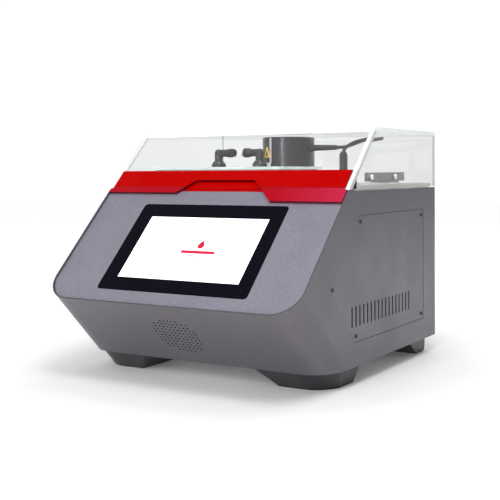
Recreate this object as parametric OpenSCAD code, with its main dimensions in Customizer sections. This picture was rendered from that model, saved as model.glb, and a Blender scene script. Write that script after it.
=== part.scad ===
// Benchtop ultrasonic bath: a sheet-metal casing with a sloping touch display, a water bath
// under a hinged clear cover, and a motor that turns a carousel of sample tubes in the bath.
// X runs to the viewer's right, Y to the rear and Z up. The origin is on the bench, under the
// middle of the whole instrument.

/* [Casing] */
// Width across the casing
body_w = 400; // [360:1:480]
// Depth of the casing from its nose to its back
body_d = 453; // [430:1:520]
// Height of the casing without its feet
body_h = 232; // [220:1:270]
// Height of the nose above the casing's lower edge
nose_h = 87; // [75:1:100]
// Angle of the sloping front; the undercut stands square to it
slope = 45; // [43:1:50]
// Thickness of the casing's sheet
wall = 2; // [1.5:0.1:3]
// Radius of the two rounded lower corners of the front
corner_r = 40; // [20:1:60]
// Width of the folded flanges inside the casing
flange_w = 12; // [8:1:20]
// Reach of the longest rear fitting behind the casing
rear_proud = 27; // [24:1:40]

/* [Feet] */
// Height of the feet
foot_h = 25; // [15:1:35]
// How far the feet stand in from the casing's sides
foot_inset = 9; // [0:1:20]
// Width of a foot where it meets the casing
foot_w = 99; // [60:1:120]
// Depth of a front foot where it meets the casing
front_foot_d = 111; // [70:1:130]
// Depth of a rear foot where it meets the casing
rear_foot_d = 74; // [50:1:90]
// How far the rear feet stand in from the casing's back
rear_foot_inset = 11; // [0:1:20]
// How far a foot's outer side draws in from top to bottom
foot_taper = 4; // [0:1:10]
// How far a foot's inner side draws in from top to bottom
foot_inner_taper = 22; // [0:1:30]
// How far a front foot's rear side draws in from top to bottom
front_foot_draw = 15; // [0:1:20]
// How far a rear foot's front side draws in from top to bottom
rear_foot_draw = 40; // [0:1:40]

/* [Front panel] */
// Depth of the front panel's face below the casing's edge
panel_inset = 2.5; // [1:0.1:4]
// Thickness of the front panel
panel_t = 2; // [1:0.1:3]
// Length of the pry notch in the panel's lower edge
pry_notch_l = 100; // [40:1:140]
// Height of the pry notch
pry_notch_h = 1.4; // [1:0.1:2]

/* [Display] */
// Width of the display's glass
glass_w = 240; // [200:1:300]
// Height of the display's glass
glass_h = 156; // [130:1:170]
// Corner radius of the display's glass
glass_r = 6; // [2:1:15]
// Thickness of the display's glass
glass_t = 3; // [2:0.5:5]
// Sideways place of the glass from the middle
glass_x = 2; // [-20:1:20]
// Distance of the glass's centre down the slope
glass_s = 104; // [95:1:110]
// Width of the lit area
screen_w = 194.4; // [150:0.1:210]
// Height of the lit area
screen_h = 110; // [90:0.1:120]
// Offset of the lit area from the glass's centre, sideways and down the slope
screen_off = [1.7, 1];
// Depth of the display module behind the glass
module_t = 8; // [5:1:12]

/* [Speaker grille] */
// Pitch of the grille's square pattern
grille_pitch = 6.4; // [5:0.1:8]
// Diameter of a grille hole
grille_hole_d = 3; // [2:0.1:4]
// Radius of the circle that the holes stay inside
grille_r = 36.3; // [25:0.1:45]
// Sideways place of the grille from the middle
grille_x = -2; // [-20:1:20]
// Distance of the grille's centre down the undercut from the nose
grille_s = 63.8; // [50:0.1:75]

/* [Side panels] */
// Distance of the side panel from the casing's upper edge
side_top = 33; // [25:1:45]
// Distance of the side panel from the casing's lower edge
side_low = 32.5; // [25:0.5:45]
// Distance of the side panel from the casing's back
side_back = 49; // [35:1:60]
// Distance of the side panel behind the sloping front
side_front = 46.3; // [35:0.1:60]
// Distance of the side panel above the undercut
side_under = 76.7; // [60:0.1:90]
// Corner radius of the side panel
side_r = 5; // [2:1:10]
// Distance of the screws from the side panel's edges
side_screw_in = 8; // [6:1:12]
// Gap around the side panels
side_gap = 0.6; // [0.3:0.1:1]
// Number of vent slots in a side panel
slot_n = 17; // [5:1:19]
// Pitch of the vent slots
slot_pitch = 12; // [9:1:13]
// Width of a vent slot
slot_w = 4; // [2:0.5:6]
// Height of a vent slot
slot_h = 28; // [15:1:40]

/* [Clear cover] */
// Height of the clear cover above the casing
cover_h = 86; // [80:1:110]
// Thickness of the clear panes
pane_t = 6; // [4:0.5:8]
// Gap between the cover and the casing
cover_gap = 1.5; // [1:0.5:3]
// Depth of the front pane's face below the side panes' sloping edges
pane_inset = 3.5; // [3.5:0.5:5]
// Distance up the slope of the cover band's lower edge
seam_up = 5; // [4:0.5:7]
// Distance up the slope of the cover band's upper edge
band_up = 38; // [28:1:50]
// Distance up the slope of the finger notch's top
notch_up = 18.8; // [12:0.1:24]
// Left end of the finger notch's top edge
notch_x0 = -48; // [-80:1:-20]
// Right end of the finger notch's top edge
notch_x1 = 50; // [20:1:80]
// How far the left trim wing reaches down the slope
wing_left_down = 5.8; // [4:0.1:12]
// How far the right trim wing reaches down the slope
wing_right_down = 20.4; // [10:0.1:22]
// How far the band and the wings stand above the casing's edge plane
trim_proud = 1.5; // [0.5:0.1:3]
// Length of the bars inside the side panes
bar_l = 126; // [90:1:160]
// Height of the bars
bar_h = 12.5; // [8:0.5:20]
// Depth of the bars
bar_t = 6; // [4:0.5:10]
// Width of the corner blocks
block_w = 13; // [8:1:20]

/* [Hinges] */
// Distance of each hinge from the middle
hinge_x = 112; // [90:1:150]
// Length of a hinge
hinge_l = 48; // [40:1:80]
// Radius of a hinge knuckle
knuckle_r = 4.5; // [3.5:0.1:6]
// Diameter of a hinge pin
hinge_pin_d = 4; // [3:0.1:5]
// Height of a hinge leaf
leaf_h = 15; // [12:1:30]
// Thickness of a hinge leaf
leaf_t = 2; // [1.5:0.1:3]

/* [Deck and bath] */
// Thickness of the deck plate
deck_t = 2; // [1.5:0.1:3]
// Height of the rim around the deck
rim_h = 7; // [4:1:10]
// Width of the rim around the deck
rim_w = 5; // [3:1:8]
// Distance of the rim from the side panes
rim_gap = 2; // [1:0.5:5]
// Height of the bath's surround above the deck
surround_h = 26; // [15:1:32]
// Left edge of the bath's lid
lid_x0 = -181; // [-184:1:-150]
// Front edge of the bath's lid
lid_y0 = -22; // [-30:1:0]
// Radius of the lid's round end, about the motor
lid_r = 53; // [50:1:60]
// Thickness of the bath's lid
lid_t = 4; // [3:0.5:6]
// Thickness of the seal under the lid
seal_t = 1; // [0.5:0.1:2]
// Width of the surround's wall
surround_w = 8; // [5:1:10]
// Thickness of the bath's sheet
tank_t = 1.5; // [1:0.1:3]
// Depth of the bath below the deck
tank_depth = 115; // [80:1:130]

/* [Motor and carousel] */
// Sideways place of the motor
motor_x = 0; // [-10:1:10]
// Place of the motor along the depth
motor_y = 103; // [95:1:110]
// Radius of the motor's housing
motor_r = 41; // [35:1:43]
// Height of the motor's housing
motor_h = 46; // [35:1:48]
// Wall of the motor's housing
motor_wall = 3; // [2:0.5:5]
// Diameter of the motor's shaft
shaft_d = 8; // [6:0.5:12]
// Radius of the circle of sample tubes
tube_circle_r = 26; // [22:1:28]
// Number of sample tubes
tube_n = 6; // [3:1:8]
// Diameter of a sample tube
tube_d = 12; // [8:0.5:14]
// Length of a sample tube
tube_l = 60; // [30:1:80]

/* [Water fittings] */
// Diameter of the water tube that the fittings take
hose_d = 8; // [6:1:10]
// Height of the elbows' arms above the bath's lid
elbow_rise = 22; // [18:1:30]
// Diameter of an elbow's arm
elbow_d = 13.6; // [12:0.1:16]
// Length of an elbow's arm from its upright
elbow_l = 27; // [22:1:32]
// Place of the left elbow
elbow_left_at = [-99, 53];
// Place of the right elbow
elbow_right_at = [-23, 53];
// Distance between the two rear water ports
port_pitch = 40; // [30:1:60]
// Sideways place of the middle of the rear ports
port_x = -70; // [-90:1:-60]
// Height of the rear ports
port_z = 200; // [180:1:215]

/* [Motor lead] */
// Place of the lead's plug on the deck
plug_at = [107, 81];
// Height of the plug above the deck
plug_h = 53; // [45:1:60]
// Diameter of the plug's ribbed body
plug_d = 13; // [10:0.5:18]
// Diameter of the lead
lead_d = 5; // [4:0.1:7]
// Height of the lead above the bath's lid where it leaves the motor
lead_rise = 29; // [20:1:40]
// Length of the lead's boot
boot_l = 44; // [20:1:48]
// Diameter of the boot where it meets the housing
boot_d = 10; // [8:0.5:14]

/* [Rear and inside] */
// Size of the cooling fan's square frame
fan_size = 80; // [60:1:92]
// Depth of the cooling fan
fan_t = 25; // [15:1:38]
// Place of the fan's centre on the rear panel
fan_at = [-120, 92];
// Place of the power inlet's centre on the rear panel
inlet_at = [140, 80];
// Width of the power inlet's flange
inlet_w = 50; // [46:1:60]
// Height of the power inlet's flange
inlet_h = 82; // [80:1:96]
// Depth of the power inlet's body behind the panel
inlet_depth = 32; // [26:1:40]

/* [Hidden] */
$fn = 64;
// Gap between sheets that lie edge to edge
sheet_gap = 0.3;
// Gap around pieces that slide or swing past each other
travel_gap = 0.5;
// Running clearance of a pin, on its radius
run_gap = 0.05;
// Clearance of a pin that is held fast, on its radius
hold_gap = 0.02;
// Overshoot of a cut past the face that it opens
cut = 1;
// How far a rounded corner's circle stands past its outline's edges, so that the two join
bite = 0.002;
// How far a welded piece reaches into the sheet that it is welded to
weld = 0.5;
// Thickness of the red strip and of the band's backing
film_t = 0.98;
// Clear adhesive between the glass and the screen behind it
glue_t = 0.1;
// Diameter of the small screws' shanks, their heads and head height
screw_d = 3;
screw_head_d = 5.6;
screw_head_h = 1.8;
screw_hole_d = 3.4;
// Diameter of the cover bars' screws, their heads and head height
bar_screw_d = 4;
bar_head_d = 7.4;
bar_head_h = 2.2;
bar_screw_front = 8;
bar_screw_back = 38;
// Space kept under the boards for their stand-offs
standoff_h = 8;
board_t = 1.6;
fan_axle_d = 4;

body_z0 = foot_h;
body_top = foot_h + body_h;
nose_z = foot_h + nose_h;
body_back = (body_d + rear_proud) / 2 - rear_proud;
nose_y = body_back - body_d;
top_front_y = nose_y + (body_h - nose_h) / tan(slope);
low_front_y = nose_y + nose_h * tan(slope);
slope_len = (body_h - nose_h) / sin(slope);
reach = body_d + body_h;
inner_w = body_w - 2 * wall;
cover_low = body_top + cover_gap;
cover_top = body_top + cover_h;
pane_in_w = body_w - 2 * pane_t;
deck_front = top_front_y + (panel_inset + panel_t + sheet_gap) / sin(slope);
lid_low = body_top + surround_h + seal_t;
lid_top = lid_low + lid_t;
lid_x1 = motor_x + lid_r;
lid_y1 = motor_y + lid_r;
surround_in = 6;
tank_in = surround_in + surround_w + 2;
tank_low = body_top - tank_depth;
elbow_z = lid_top + elbow_rise;
lead_z = lid_top + lead_rise;
hinge_y = body_back + knuckle_r + travel_gap;
hinge_z = cover_low;
knuckle_l = hinge_l / 3;
grille_n = ceil(grille_r / grille_pitch);
port_l = rear_proud;
port_depth = 18;
panel_y = body_back - wall;
trim_half = pane_in_w / 2 - sheet_gap;
notch_floor = -panel_inset;

// Directions in the side view: into the casing from the sloping front, and up the slope
into = [sin(slope), -cos(slope)];
upward = [cos(slope), sin(slope)];

// Rounded convex outlines

function unit(v) = v / norm(v);
function before(p, i) = p[(i + len(p) - 1) % len(p)];
function after(p, i) = p[(i + 1) % len(p)];

// Half the angle between the two edges that meet in corner i
function half_angle(p, i) =
    acos(unit(before(p, i) - p[i]) * unit(after(p, i) - p[i])) / 2;

// Centre of a circle of radius r that touches both edges of corner i
function corner_in(p, i, r) =
    p[i] + unit(unit(before(p, i) - p[i]) + unit(after(p, i) - p[i])) * r / sin(half_angle(p, i));

// The two points where that circle touches the edges
function touch_points(p, i, r) = [
    p[i] + unit(before(p, i) - p[i]) * r / tan(half_angle(p, i)),
    p[i] + unit(after(p, i) - p[i]) * r / tan(half_angle(p, i))
];

// A convex outline with a radius for each corner
module rounded(p, r) {
    polygon([for (i = [0 : len(p) - 1]) each touch_points(p, i, r[i])]);
    for (i = [0 : len(p) - 1])
        translate(corner_in(p, i, r[i]))
            circle(r[i] + bite);
}

function box_points(w, h) = [[-w / 2, -h / 2], [w / 2, -h / 2], [w / 2, h / 2], [-w / 2, h / 2]];

module rounded_box(w, h, r) {
    rounded(box_points(w, h), [r, r, r, r]);
}

// An upright slot with round ends
module slot_outline(w, h) {
    square([w, h - w], center = true);
    for (end = [-1, 1])
        translate([0, end * (h - w) / 2])
            circle(w / 2);
}

// Local frames

// X across, Y up the slope, Z out of the sloping front, from the casing's upper front edge
module on_slope() {
    translate([0, top_front_y, body_top])
        rotate([slope, 0, 0])
            children();
}

// X across, Y up towards the nose, Z out of the undercut, from the nose
module on_undercut() {
    translate([0, nose_y, nose_z])
        rotate([90 + slope, 0, 0])
            children();
}

// A side view's outline, with its Y and Z, made w thick about the middle
module across(w) {
    rotate([90, 0, 90])
        translate([0, 0, -w / 2])
            linear_extrude(w)
                children();
}

// The same on the right-hand side, from x outwards
module on_side(x, t) {
    rotate([90, 0, 90])
        translate([0, 0, x])
            linear_extrude(t)
                children();
}

// A rear view's outline, with its X and Z, from y to the rear
module on_rear(y, t) {
    translate([0, y + t, 0])
        rotate([90, 0, 0])
            linear_extrude(t)
                children();
}

module both_sides() {
    children();
    mirror([1, 0, 0])
        children();
}

// A point of the side view, at a depth behind the sloping front and a height above the undercut
function side_point(depth, rise) = [nose_y, nose_z] + depth * into + rise * upward;
function rise_at(z, depth) = (z - nose_z + depth * cos(slope)) / sin(slope);
function depth_at(z, rise) = (nose_z + rise * sin(slope) - z) / cos(slope);
function slope_y(z, n) = top_front_y + (z - body_top) / tan(slope) - n / sin(slope);

// Casing

// The front's outline seen square to the slope, with its two round lower corners
module corner_outline(inset) {
    w = body_w - 2 * inset;
    r = corner_r - inset;
    low = inset - slope_len;
    translate([-w / 2, low + r])
        square([w, reach]);
    translate([r - w / 2, low])
        square([w - 2 * r, 2 * r]);
    for (side = [-1, 1])
        translate([side * (w / 2 - r), low + r])
            circle(r, $fn = 96);
}

module corner_prism(inset, out) {
    on_slope()
        translate([0, 0, -reach])
            linear_extrude(reach + out)
                corner_outline(inset);
}

module casing_outline() {
    polygon([
        [body_back, body_z0],
        [body_back, body_top],
        [top_front_y, body_top],
        [nose_y, nose_z],
        [low_front_y, body_z0]
    ]);
}

function side_panel_points(grow) =
    let (
        top = body_top - side_top + grow,
        low = body_z0 + side_low - grow,
        back = body_back - side_back + grow,
        depth = side_front - grow,
        rise = side_under - grow
    ) [
        side_point(depth_at(low, rise), rise),
        [back, low],
        [back, top],
        side_point(depth, rise_at(top, depth)),
        side_point(depth, rise)
    ];

module side_panel_outline(grow) {
    r = max(side_r + grow, 1);
    rounded(side_panel_points(grow), [r, r, r, r, r]);
}

module side_screw_points() {
    for (i = [0 : 4])
        translate(corner_in(side_panel_points(0), i, side_screw_in))
            children();
}

module side_ring() {
    on_side(body_w / 2 - 2 * wall, wall + weld)
        difference() {
            side_panel_outline(side_screw_in);
            side_panel_outline(-2 * side_screw_in);
            side_screw_points()
                circle(d = screw_hole_d);
        }
}

module side_flanges() {
    for (z = [body_z0 + wall + sheet_gap, body_top - deck_t - wall - sheet_gap])
        translate([inner_w / 2 - flange_w, deck_front + wall, z])
            cube([flange_w + weld, panel_y - deck_front - 2 * wall, wall]);
}

module grille_holes() {
    on_undercut()
        translate([grille_x, -grille_s, -wall - cut])
            for (i = [-grille_n : grille_n], j = [-grille_n : grille_n])
                if (norm([i, j]) * grille_pitch <= grille_r)
                    translate([i * grille_pitch, j * grille_pitch])
                        cylinder(d = grille_hole_d, h = wall + 2 * cut, $fn = 16);
}

module casing() {
    color("#6a676c")
    difference() {
        union() {
            difference() {
                intersection() {
                    across(body_w)
                        casing_outline();
                    corner_prism(0, 0);
                }
                corner_prism(wall, cut);
            }
            both_sides() {
                side_ring();
                side_flanges();
            }
        }
        both_sides()
            on_side(body_w / 2 - wall, wall + cut)
                side_panel_outline(side_gap);
        grille_holes();
    }
}

module side_panel() {
    on_side(body_w / 2 - wall, wall - sheet_gap)
        difference() {
            side_panel_outline(0);
            side_screw_points()
                circle(d = screw_hole_d);
            translate([panel_middle()[0], panel_middle()[1]])
                for (i = [0 : slot_n - 1])
                    translate([(i - (slot_n - 1) / 2) * slot_pitch, 0])
                        slot_outline(slot_w, slot_h);
        }
}

// The middle of the vent slots, in the side view
function panel_middle() = [
    (side_point(side_front, side_under)[0] + body_back - side_back) / 2 + side_r,
    body_z0 + side_low + slot_h / 2 + 20
];

module side_panel_left() {
    color("#6a676c")
    mirror([1, 0, 0])
        side_panel();
}

module side_panel_right() {
    color("#6a676c")
        side_panel();
}

// A pan head screw that stands on z = 0 with its shank below
module screw(l) {
    cylinder(d1 = screw_head_d, d2 = screw_head_d - 1.6, h = screw_head_h, $fn = 32);
    translate([0, 0, -l])
        cylinder(d = screw_d, h = l, $fn = 32);
}

function rear_screw_points() = [
    for (x = [-1, 1], z = [body_z0 + side_low, (body_z0 + body_top) / 2, body_top - side_top])
        [x * (inner_w / 2 - side_screw_in), z]
];

module casing_screws() {
    color("#3c3b3f") {
        both_sides()
            translate([body_w / 2 - sheet_gap, 0, 0])
                rotate([90, 0, 90])
                    side_screw_points()
                        screw(2 * wall);
        for (p = rear_screw_points())
            translate([p[0], body_back, p[1]])
                rotate([-90, 0, 0])
                    screw(2 * wall);
    }
}

module base_plate() {
    color("#8b898e")
    difference() {
        intersection() {
            translate([-inner_w / 2 + sheet_gap, nose_y, body_z0])
                cube([inner_w - 2 * sheet_gap, panel_y - sheet_gap - nose_y, wall]);
            corner_prism(wall + sheet_gap, 0);
        }
        for (x = [-2 : 2], y = [-2 : 2])
            translate([x * slot_pitch + inlet_at[0] / 2, y * slot_pitch, body_z0 - cut])
                cylinder(d = slot_w, h = wall + 2 * cut, $fn = 16);
    }
}

module rear_panel() {
    color("#6a676c")
    difference() {
        on_rear(panel_y, wall)
            translate([0, (body_z0 + body_top) / 2])
                square([inner_w - 2 * sheet_gap, body_h], center = true);
        on_rear(panel_y - cut, wall + 2 * cut)
            rear_cuts();
    }
}

module rear_cuts() {
    translate(fan_at) {
        circle(d = fan_size - 4);
        for (x = [-1, 1], z = [-1, 1])
            translate([x, z] * (fan_size / 2 - 4.25))
                circle(d = 4.5, $fn = 32);
    }
    translate(inlet_at)
        square([inlet_w - 4, inlet_h - 4], center = true);
    for (side = [-1, 1])
        translate([port_x + side * port_pitch / 2, port_z])
            circle(d = 15);
    for (p = rear_screw_points())
        translate(p)
            circle(d = screw_hole_d, $fn = 32);
    for (i = [0 : 9])
        translate([30 + i * slot_pitch, port_z])
            slot_outline(slot_w, slot_h);
}

// Feet

// A solid that narrows towards the bench, as wide as a foot at the casing
module foot_across() {
    out = body_w / 2 - foot_inset;
    on_rear(nose_y, reach)
        polygon([
            [out - foot_w + foot_inner_taper, 0],
            [out - foot_taper, 0],
            [out, body_z0],
            [out - foot_w, body_z0]
        ]);
}

module front_feet() {
    back = low_front_y + front_foot_d;
    color("#5c5960")
    both_sides()
        intersection() {
            foot_across();
            across(body_w)
                polygon([
                    [low_front_y - foot_h, 0],
                    [back - front_foot_draw, 0],
                    [back, body_z0],
                    [low_front_y, body_z0]
                ]);
            translate([-foot_inset, 0, 0])
                corner_prism(0, reach);
        }
}

module rear_feet() {
    back = body_back - rear_foot_inset;
    color("#5c5960")
    both_sides()
        intersection() {
            foot_across();
            across(body_w)
                polygon([
                    [back - rear_foot_d + rear_foot_draw, 0],
                    [back - 2 * foot_taper, 0],
                    [back, foot_taper],
                    [back, body_z0],
                    [back - rear_foot_d, body_z0]
                ]);
            translate([body_w / 2 - foot_inset - foot_w, back - rear_foot_d, 0])
                linear_extrude(body_z0)
                    rounded(
                        [[0, 0], [foot_w, 0], [foot_w, rear_foot_d], [0, rear_foot_d]],
                        [1, 1, 3 * foot_taper, 1]
                    );
        }
}

// Front panel, display and speaker

module front_panel() {
    color("#9c99a5")
    on_slope()
        translate([0, 0, -panel_inset - panel_t])
            linear_extrude(panel_t)
                difference() {
                    intersection() {
                        corner_outline(wall + sheet_gap);
                        translate([-body_w / 2, -slope_len])
                            square([body_w, slope_len]);
                    }
                    translate([glass_x, -glass_s])
                        rounded_box(glass_w + 2 * sheet_gap, glass_h + 2 * sheet_gap, glass_r);
                    translate([glass_x, wall + sheet_gap + pry_notch_h / 2 - slope_len])
                        square([pry_notch_l, pry_notch_h], center = true);
                }
}

// The frame of the display, at the middle of the glass's front face
module on_display() {
    on_slope()
        translate([glass_x, -glass_s, 0.2 - panel_inset])
            children();
}

module display_bezel() {
    color("#17151c")
    on_display()
        translate([0, 0, -glass_t])
            linear_extrude(glass_t)
                difference() {
                    rounded_box(glass_w, glass_h, glass_r);
                    translate([screen_off[0], -screen_off[1]])
                        square([screen_w, screen_h], center = true);
                }
}

module display_screen() {
    color("#f4f5f6")
    on_display()
        translate([screen_off[0], -screen_off[1], 0]) {
            translate([0, 0, -glass_t / 2 - glue_t])
                cube([screen_w, screen_h, glass_t], center = true);
            translate([0, 0, -glass_t - module_t / 2 - glue_t])
                cube([screen_w + 14, screen_h + 16, module_t], center = true);
        }
}

module controller_board() {
    color("#2f6b45")
    on_display()
        translate([0, 0, -glass_t - module_t - standoff_h - board_t - glue_t]) {
            translate([-screen_w * 0.4, -screen_h * 0.4, 0])
                cube([screen_w * 0.8, screen_h * 0.8, board_t]);
            for (i = [-1 : 1])
                translate([i * 45, 0, -3])
                    linear_extrude(3)
                        square([26, 26], center = true);
            for (x = [-1, 1], y = [-1, 1])
                translate([x * screen_w * 0.37, y * screen_h * 0.36, board_t])
                    cylinder(d = 6, h = standoff_h);
        }
}

module speaker() {
    color("#2a292d")
    on_undercut()
        translate([grille_x, -grille_s, -wall - 0.2])
            rotate_extrude()
                polygon([
                    [0, -14],
                    [12, -14],
                    [34, -4],
                    [34, 0],
                    [grille_r + 4, 0],
                    [grille_r + 4, -6],
                    [32, -12],
                    [22, -26],
                    [0, -26]
                ]);
}

// Red trim on the casing

module trim_strip() {
    color("#c80a10")
    on_slope()
        translate([-trim_half, sheet_gap, notch_floor - panel_t])
            cube([2 * trim_half, seam_up - 3 * sheet_gap, panel_t]);
}

// The outline of a wing, from its edge at the notch outwards; side is -1 on the left
module wing_outline(side, notch_x, down) {
    up = seam_up - 2 * sheet_gap;
    out = side * (inner_w / 2 - sheet_gap);
    pane_toe = cover_gap / sin(slope) - sheet_gap;
    polygon([
        [notch_x + side * (notch_up - up), up],
        [side * trim_half, up],
        [side * trim_half, pane_toe],
        [out, pane_toe],
        [out, -down],
        [notch_x + side * (notch_up + down), -down]
    ]);
}

module wing(side, notch_x, down) {
    on_slope()
        translate([0, 0, notch_floor])
            linear_extrude(trim_proud - notch_floor)
                wing_outline(side, notch_x, down);
}

module trim_wing_left() {
    color("#cc0a12")
        wing(-1, notch_x0, wing_left_down);
}

module trim_wing_right() {
    color("#c4143a")
        wing(1, notch_x1, wing_right_down);
}

// Clear cover

module cover_band() {
    color("#d2090e")
    on_slope() {
        translate([0, 0, notch_floor])
            linear_extrude(trim_proud - notch_floor)
                polygon([
                    [-trim_half, seam_up],
                    [notch_x0 - (notch_up - seam_up), seam_up],
                    [notch_x0, notch_up],
                    [notch_x1, notch_up],
                    [notch_x1 + (notch_up - seam_up), seam_up],
                    [trim_half, seam_up],
                    [trim_half, band_up],
                    [-trim_half, band_up]
                ]);
        translate([-trim_half, seam_up, notch_floor - film_t])
            cube([2 * trim_half, band_up - seam_up, film_t]);
    }
}

// The cover's side view, closed in by n behind the slope, and from z0 to z1
module cover_outline(n, z0, z1, y1) {
    polygon([
        [slope_y(z0, -n), z0],
        [slope_y(z1, -n), z1],
        [y1, z1],
        [y1, z0]
    ]);
}

module cover_front_pane() {
    color("#f0f2f3", 0.35)
    across(pane_in_w)
        difference() {
            cover_outline(pane_inset, cover_low, cover_top - pane_t, body_back - pane_t);
            cover_outline(
                pane_inset + pane_t, cover_low - cut, cover_top, body_back
            );
        }
}

module cover_top_pane() {
    color("#f0f2f3", 0.35)
    across(pane_in_w)
        cover_outline(pane_inset, cover_top - pane_t, cover_top, body_back);
}

module cover_side_pane() {
    difference() {
        on_side(pane_in_w / 2, pane_t)
            cover_outline(0, cover_low, cover_top, body_back);
        bar_screw_points()
            translate([0, 0, pane_in_w / 2 - cut]) {
                cylinder(d = bar_screw_d + 2 * travel_gap, h = pane_t + 2 * cut, $fn = 32);
                translate([0, 0, cut + pane_t - bar_head_h - 0.1])
                    cylinder(d = bar_head_d + 2 * travel_gap, h = bar_head_h + cut, $fn = 32);
            }
    }
}

module cover_left_pane() {
    color("#f0f2f3", 0.35)
    mirror([1, 0, 0])
        cover_side_pane();
}

module cover_right_pane() {
    color("#f0f2f3", 0.35)
        cover_side_pane();
}

module cover_back_pane() {
    color("#f0f2f3", 0.35)
    translate([-pane_in_w / 2, body_back - pane_t, cover_low])
        cube([pane_in_w, pane_t, cover_h - cover_gap - pane_t]);
}

// Front end and lower edge of the cover bars
bar_y = -30;
bar_z = body_top + 11.5;

// The bar's screw places on the right side, seen from outside
module bar_screw_points() {
    rotate([90, 0, 90])
        for (y = [bar_y + bar_screw_front, bar_y + bar_l - bar_screw_back])
            translate([y, bar_z + bar_h / 2, 0])
                children();
}

module cover_bars() {
    color("#8d8c90")
    both_sides()
        difference() {
            translate([pane_in_w / 2 - bar_t, bar_y, bar_z])
                cube([bar_t, bar_l, bar_h]);
            bar_screw_points()
                translate([0, 0, pane_in_w / 2 - bar_t - cut])
                    cylinder(d = bar_screw_d + 2 * hold_gap, h = bar_t + 2 * cut, $fn = 32);
        }
}

module cover_bar_screws() {
    color("#d6d4cf")
    both_sides()
        bar_screw_points()
            difference() {
                union() {
                    translate([0, 0, body_w / 2 - bar_head_h - 0.1])
                        cylinder(d = bar_head_d, h = bar_head_h);
                    translate([0, 0, pane_in_w / 2 - bar_t])
                        cylinder(d = bar_screw_d, h = bar_t + pane_t - bar_head_h, $fn = 32);
                }
                translate([0, 0, body_w / 2 - bar_head_h / 2])
                    cylinder(d = 2.9, h = bar_head_h, $fn = 6);
            }
}

module cover_corner_blocks() {
    low = body_top + 3;
    high = body_top + 15;
    n = -pane_inset - pane_t;
    color("#2b2a2e")
    both_sides()
        on_side(pane_in_w / 2 - block_w, block_w)
            polygon([
                [slope_y(low, n), low],
                [slope_y(high, n), high],
                [slope_y(high, n), low]
            ]);
}

// Hinges

module knuckle(x0, l, bore_gap) {
    translate([x0, hinge_y, hinge_z])
        rotate([0, 90, 0])
            difference() {
                cylinder(r = knuckle_r, h = l, $fn = 48);
                translate([0, 0, -cut])
                    cylinder(d = hinge_pin_d + 2 * bore_gap, h = l + 2 * cut, $fn = 48);
            }
}

module at_hinges() {
    for (side = [-1, 1])
        translate([side * hinge_x, 0, 0])
            children();
}

module cover_hinge_leaves() {
    color("#b9b9bc")
    at_hinges() {
        knuckle(travel_gap - knuckle_l / 2, knuckle_l - 2 * travel_gap, run_gap);
        translate([travel_gap - knuckle_l / 2, body_back, hinge_z - 0.5])
            cube([knuckle_l - 2 * travel_gap, leaf_t, leaf_h / 2]);
        translate([-hinge_l / 2, body_back, hinge_z + knuckle_r + 1])
            cube([hinge_l, leaf_t, leaf_h]);
    }
}

module body_hinge_leaves() {
    color("#b9b9bc")
    at_hinges() {
        for (side = [-1, 1]) {
            knuckle(side * knuckle_l - knuckle_l / 2, knuckle_l, hold_gap);
            translate([side * knuckle_l - knuckle_l / 2, body_back, hinge_z - leaf_h / 2])
                cube([knuckle_l, leaf_t, leaf_h / 2 - 0.5]);
        }
        translate([-hinge_l / 2, body_back, hinge_z - knuckle_r - 1 - leaf_h])
            cube([hinge_l, leaf_t, leaf_h]);
    }
}

module hinge_pins() {
    color("#d0d0d2")
    at_hinges()
        translate([-hinge_l / 2, hinge_y, hinge_z])
            rotate([0, 90, 0])
                cylinder(d = hinge_pin_d, h = hinge_l, $fn = 48);
}

// Deck and bath

module deck_plate() {
    color("#c9c9cb")
    difference() {
        translate([-inner_w / 2 + sheet_gap, deck_front, body_top - deck_t])
            cube([inner_w - 2 * sheet_gap, panel_y - sheet_gap - deck_front, deck_t]);
        translate([0, 0, body_top - deck_t - cut])
            linear_extrude(deck_t + 2 * cut) {
                lid_outline(tank_in - sheet_gap);
                translate(plug_at)
                    circle(d = 16);
            }
    }
}

module deck_rim() {
    w = pane_in_w - 2 * rim_gap;
    front = slope_y(body_top + rim_h, -pane_inset - pane_t) + rim_gap + 10;
    back = body_back - pane_t - rim_gap;
    color("#bcb9b5")
    translate([0, (front + back) / 2, body_top])
        linear_extrude(rim_h)
            difference() {
                square([w, back - front], center = true);
                square([w - 2 * rim_w, back - front - 2 * rim_w], center = true);
            }
}

// The lid's outline closed in by an inset; its rear right corner is round about the motor
module lid_outline(inset) {
    x0 = lid_x0 + inset;
    x1 = lid_x1 - inset;
    y0 = lid_y0 + inset;
    y1 = lid_y1 - inset;
    small = max(10 - inset, 3);
    rounded([[x0, y0], [x1, y0], [x1, y1], [x0, y1]], [small, small, lid_r - inset, small]);
}

module lid_ring(outer, inner, z, t) {
    translate([0, 0, z])
        linear_extrude(t)
            difference() {
                lid_outline(outer);
                lid_outline(inner);
            }
}

module tank_surround() {
    color("#e9e9e7")
        lid_ring(surround_in, surround_in + surround_w, body_top, surround_h);
}

module lid_seal() {
    color("#38373b")
        lid_ring(surround_in + 1, surround_in + surround_w - 1, body_top + surround_h, seal_t);
}

module tank() {
    flange_z = body_top - deck_t - wall - sheet_gap;
    color("#cfd0d2") {
        lid_ring(tank_in, tank_in + tank_t, tank_low, tank_depth + wall);
        lid_ring(surround_in, tank_in + tank_t / 2, flange_z, tank_t);
        translate([0, 0, tank_low])
            linear_extrude(tank_t)
                lid_outline(tank_in + tank_t / 2);
    }
}

module tank_lid() {
    color("#d9eceb", 0.5)
    difference() {
        translate([0, 0, lid_low])
            linear_extrude(lid_t)
                lid_outline(0);
        translate([motor_x, motor_y, lid_low - cut])
            cylinder(d = shaft_d + 4, h = lid_t + 2 * cut);
        for (p = [elbow_left_at, elbow_right_at])
            translate([p[0], p[1], lid_low - cut])
                cylinder(d = hose_d + 4, h = lid_t + 2 * cut);
    }
}

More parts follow.
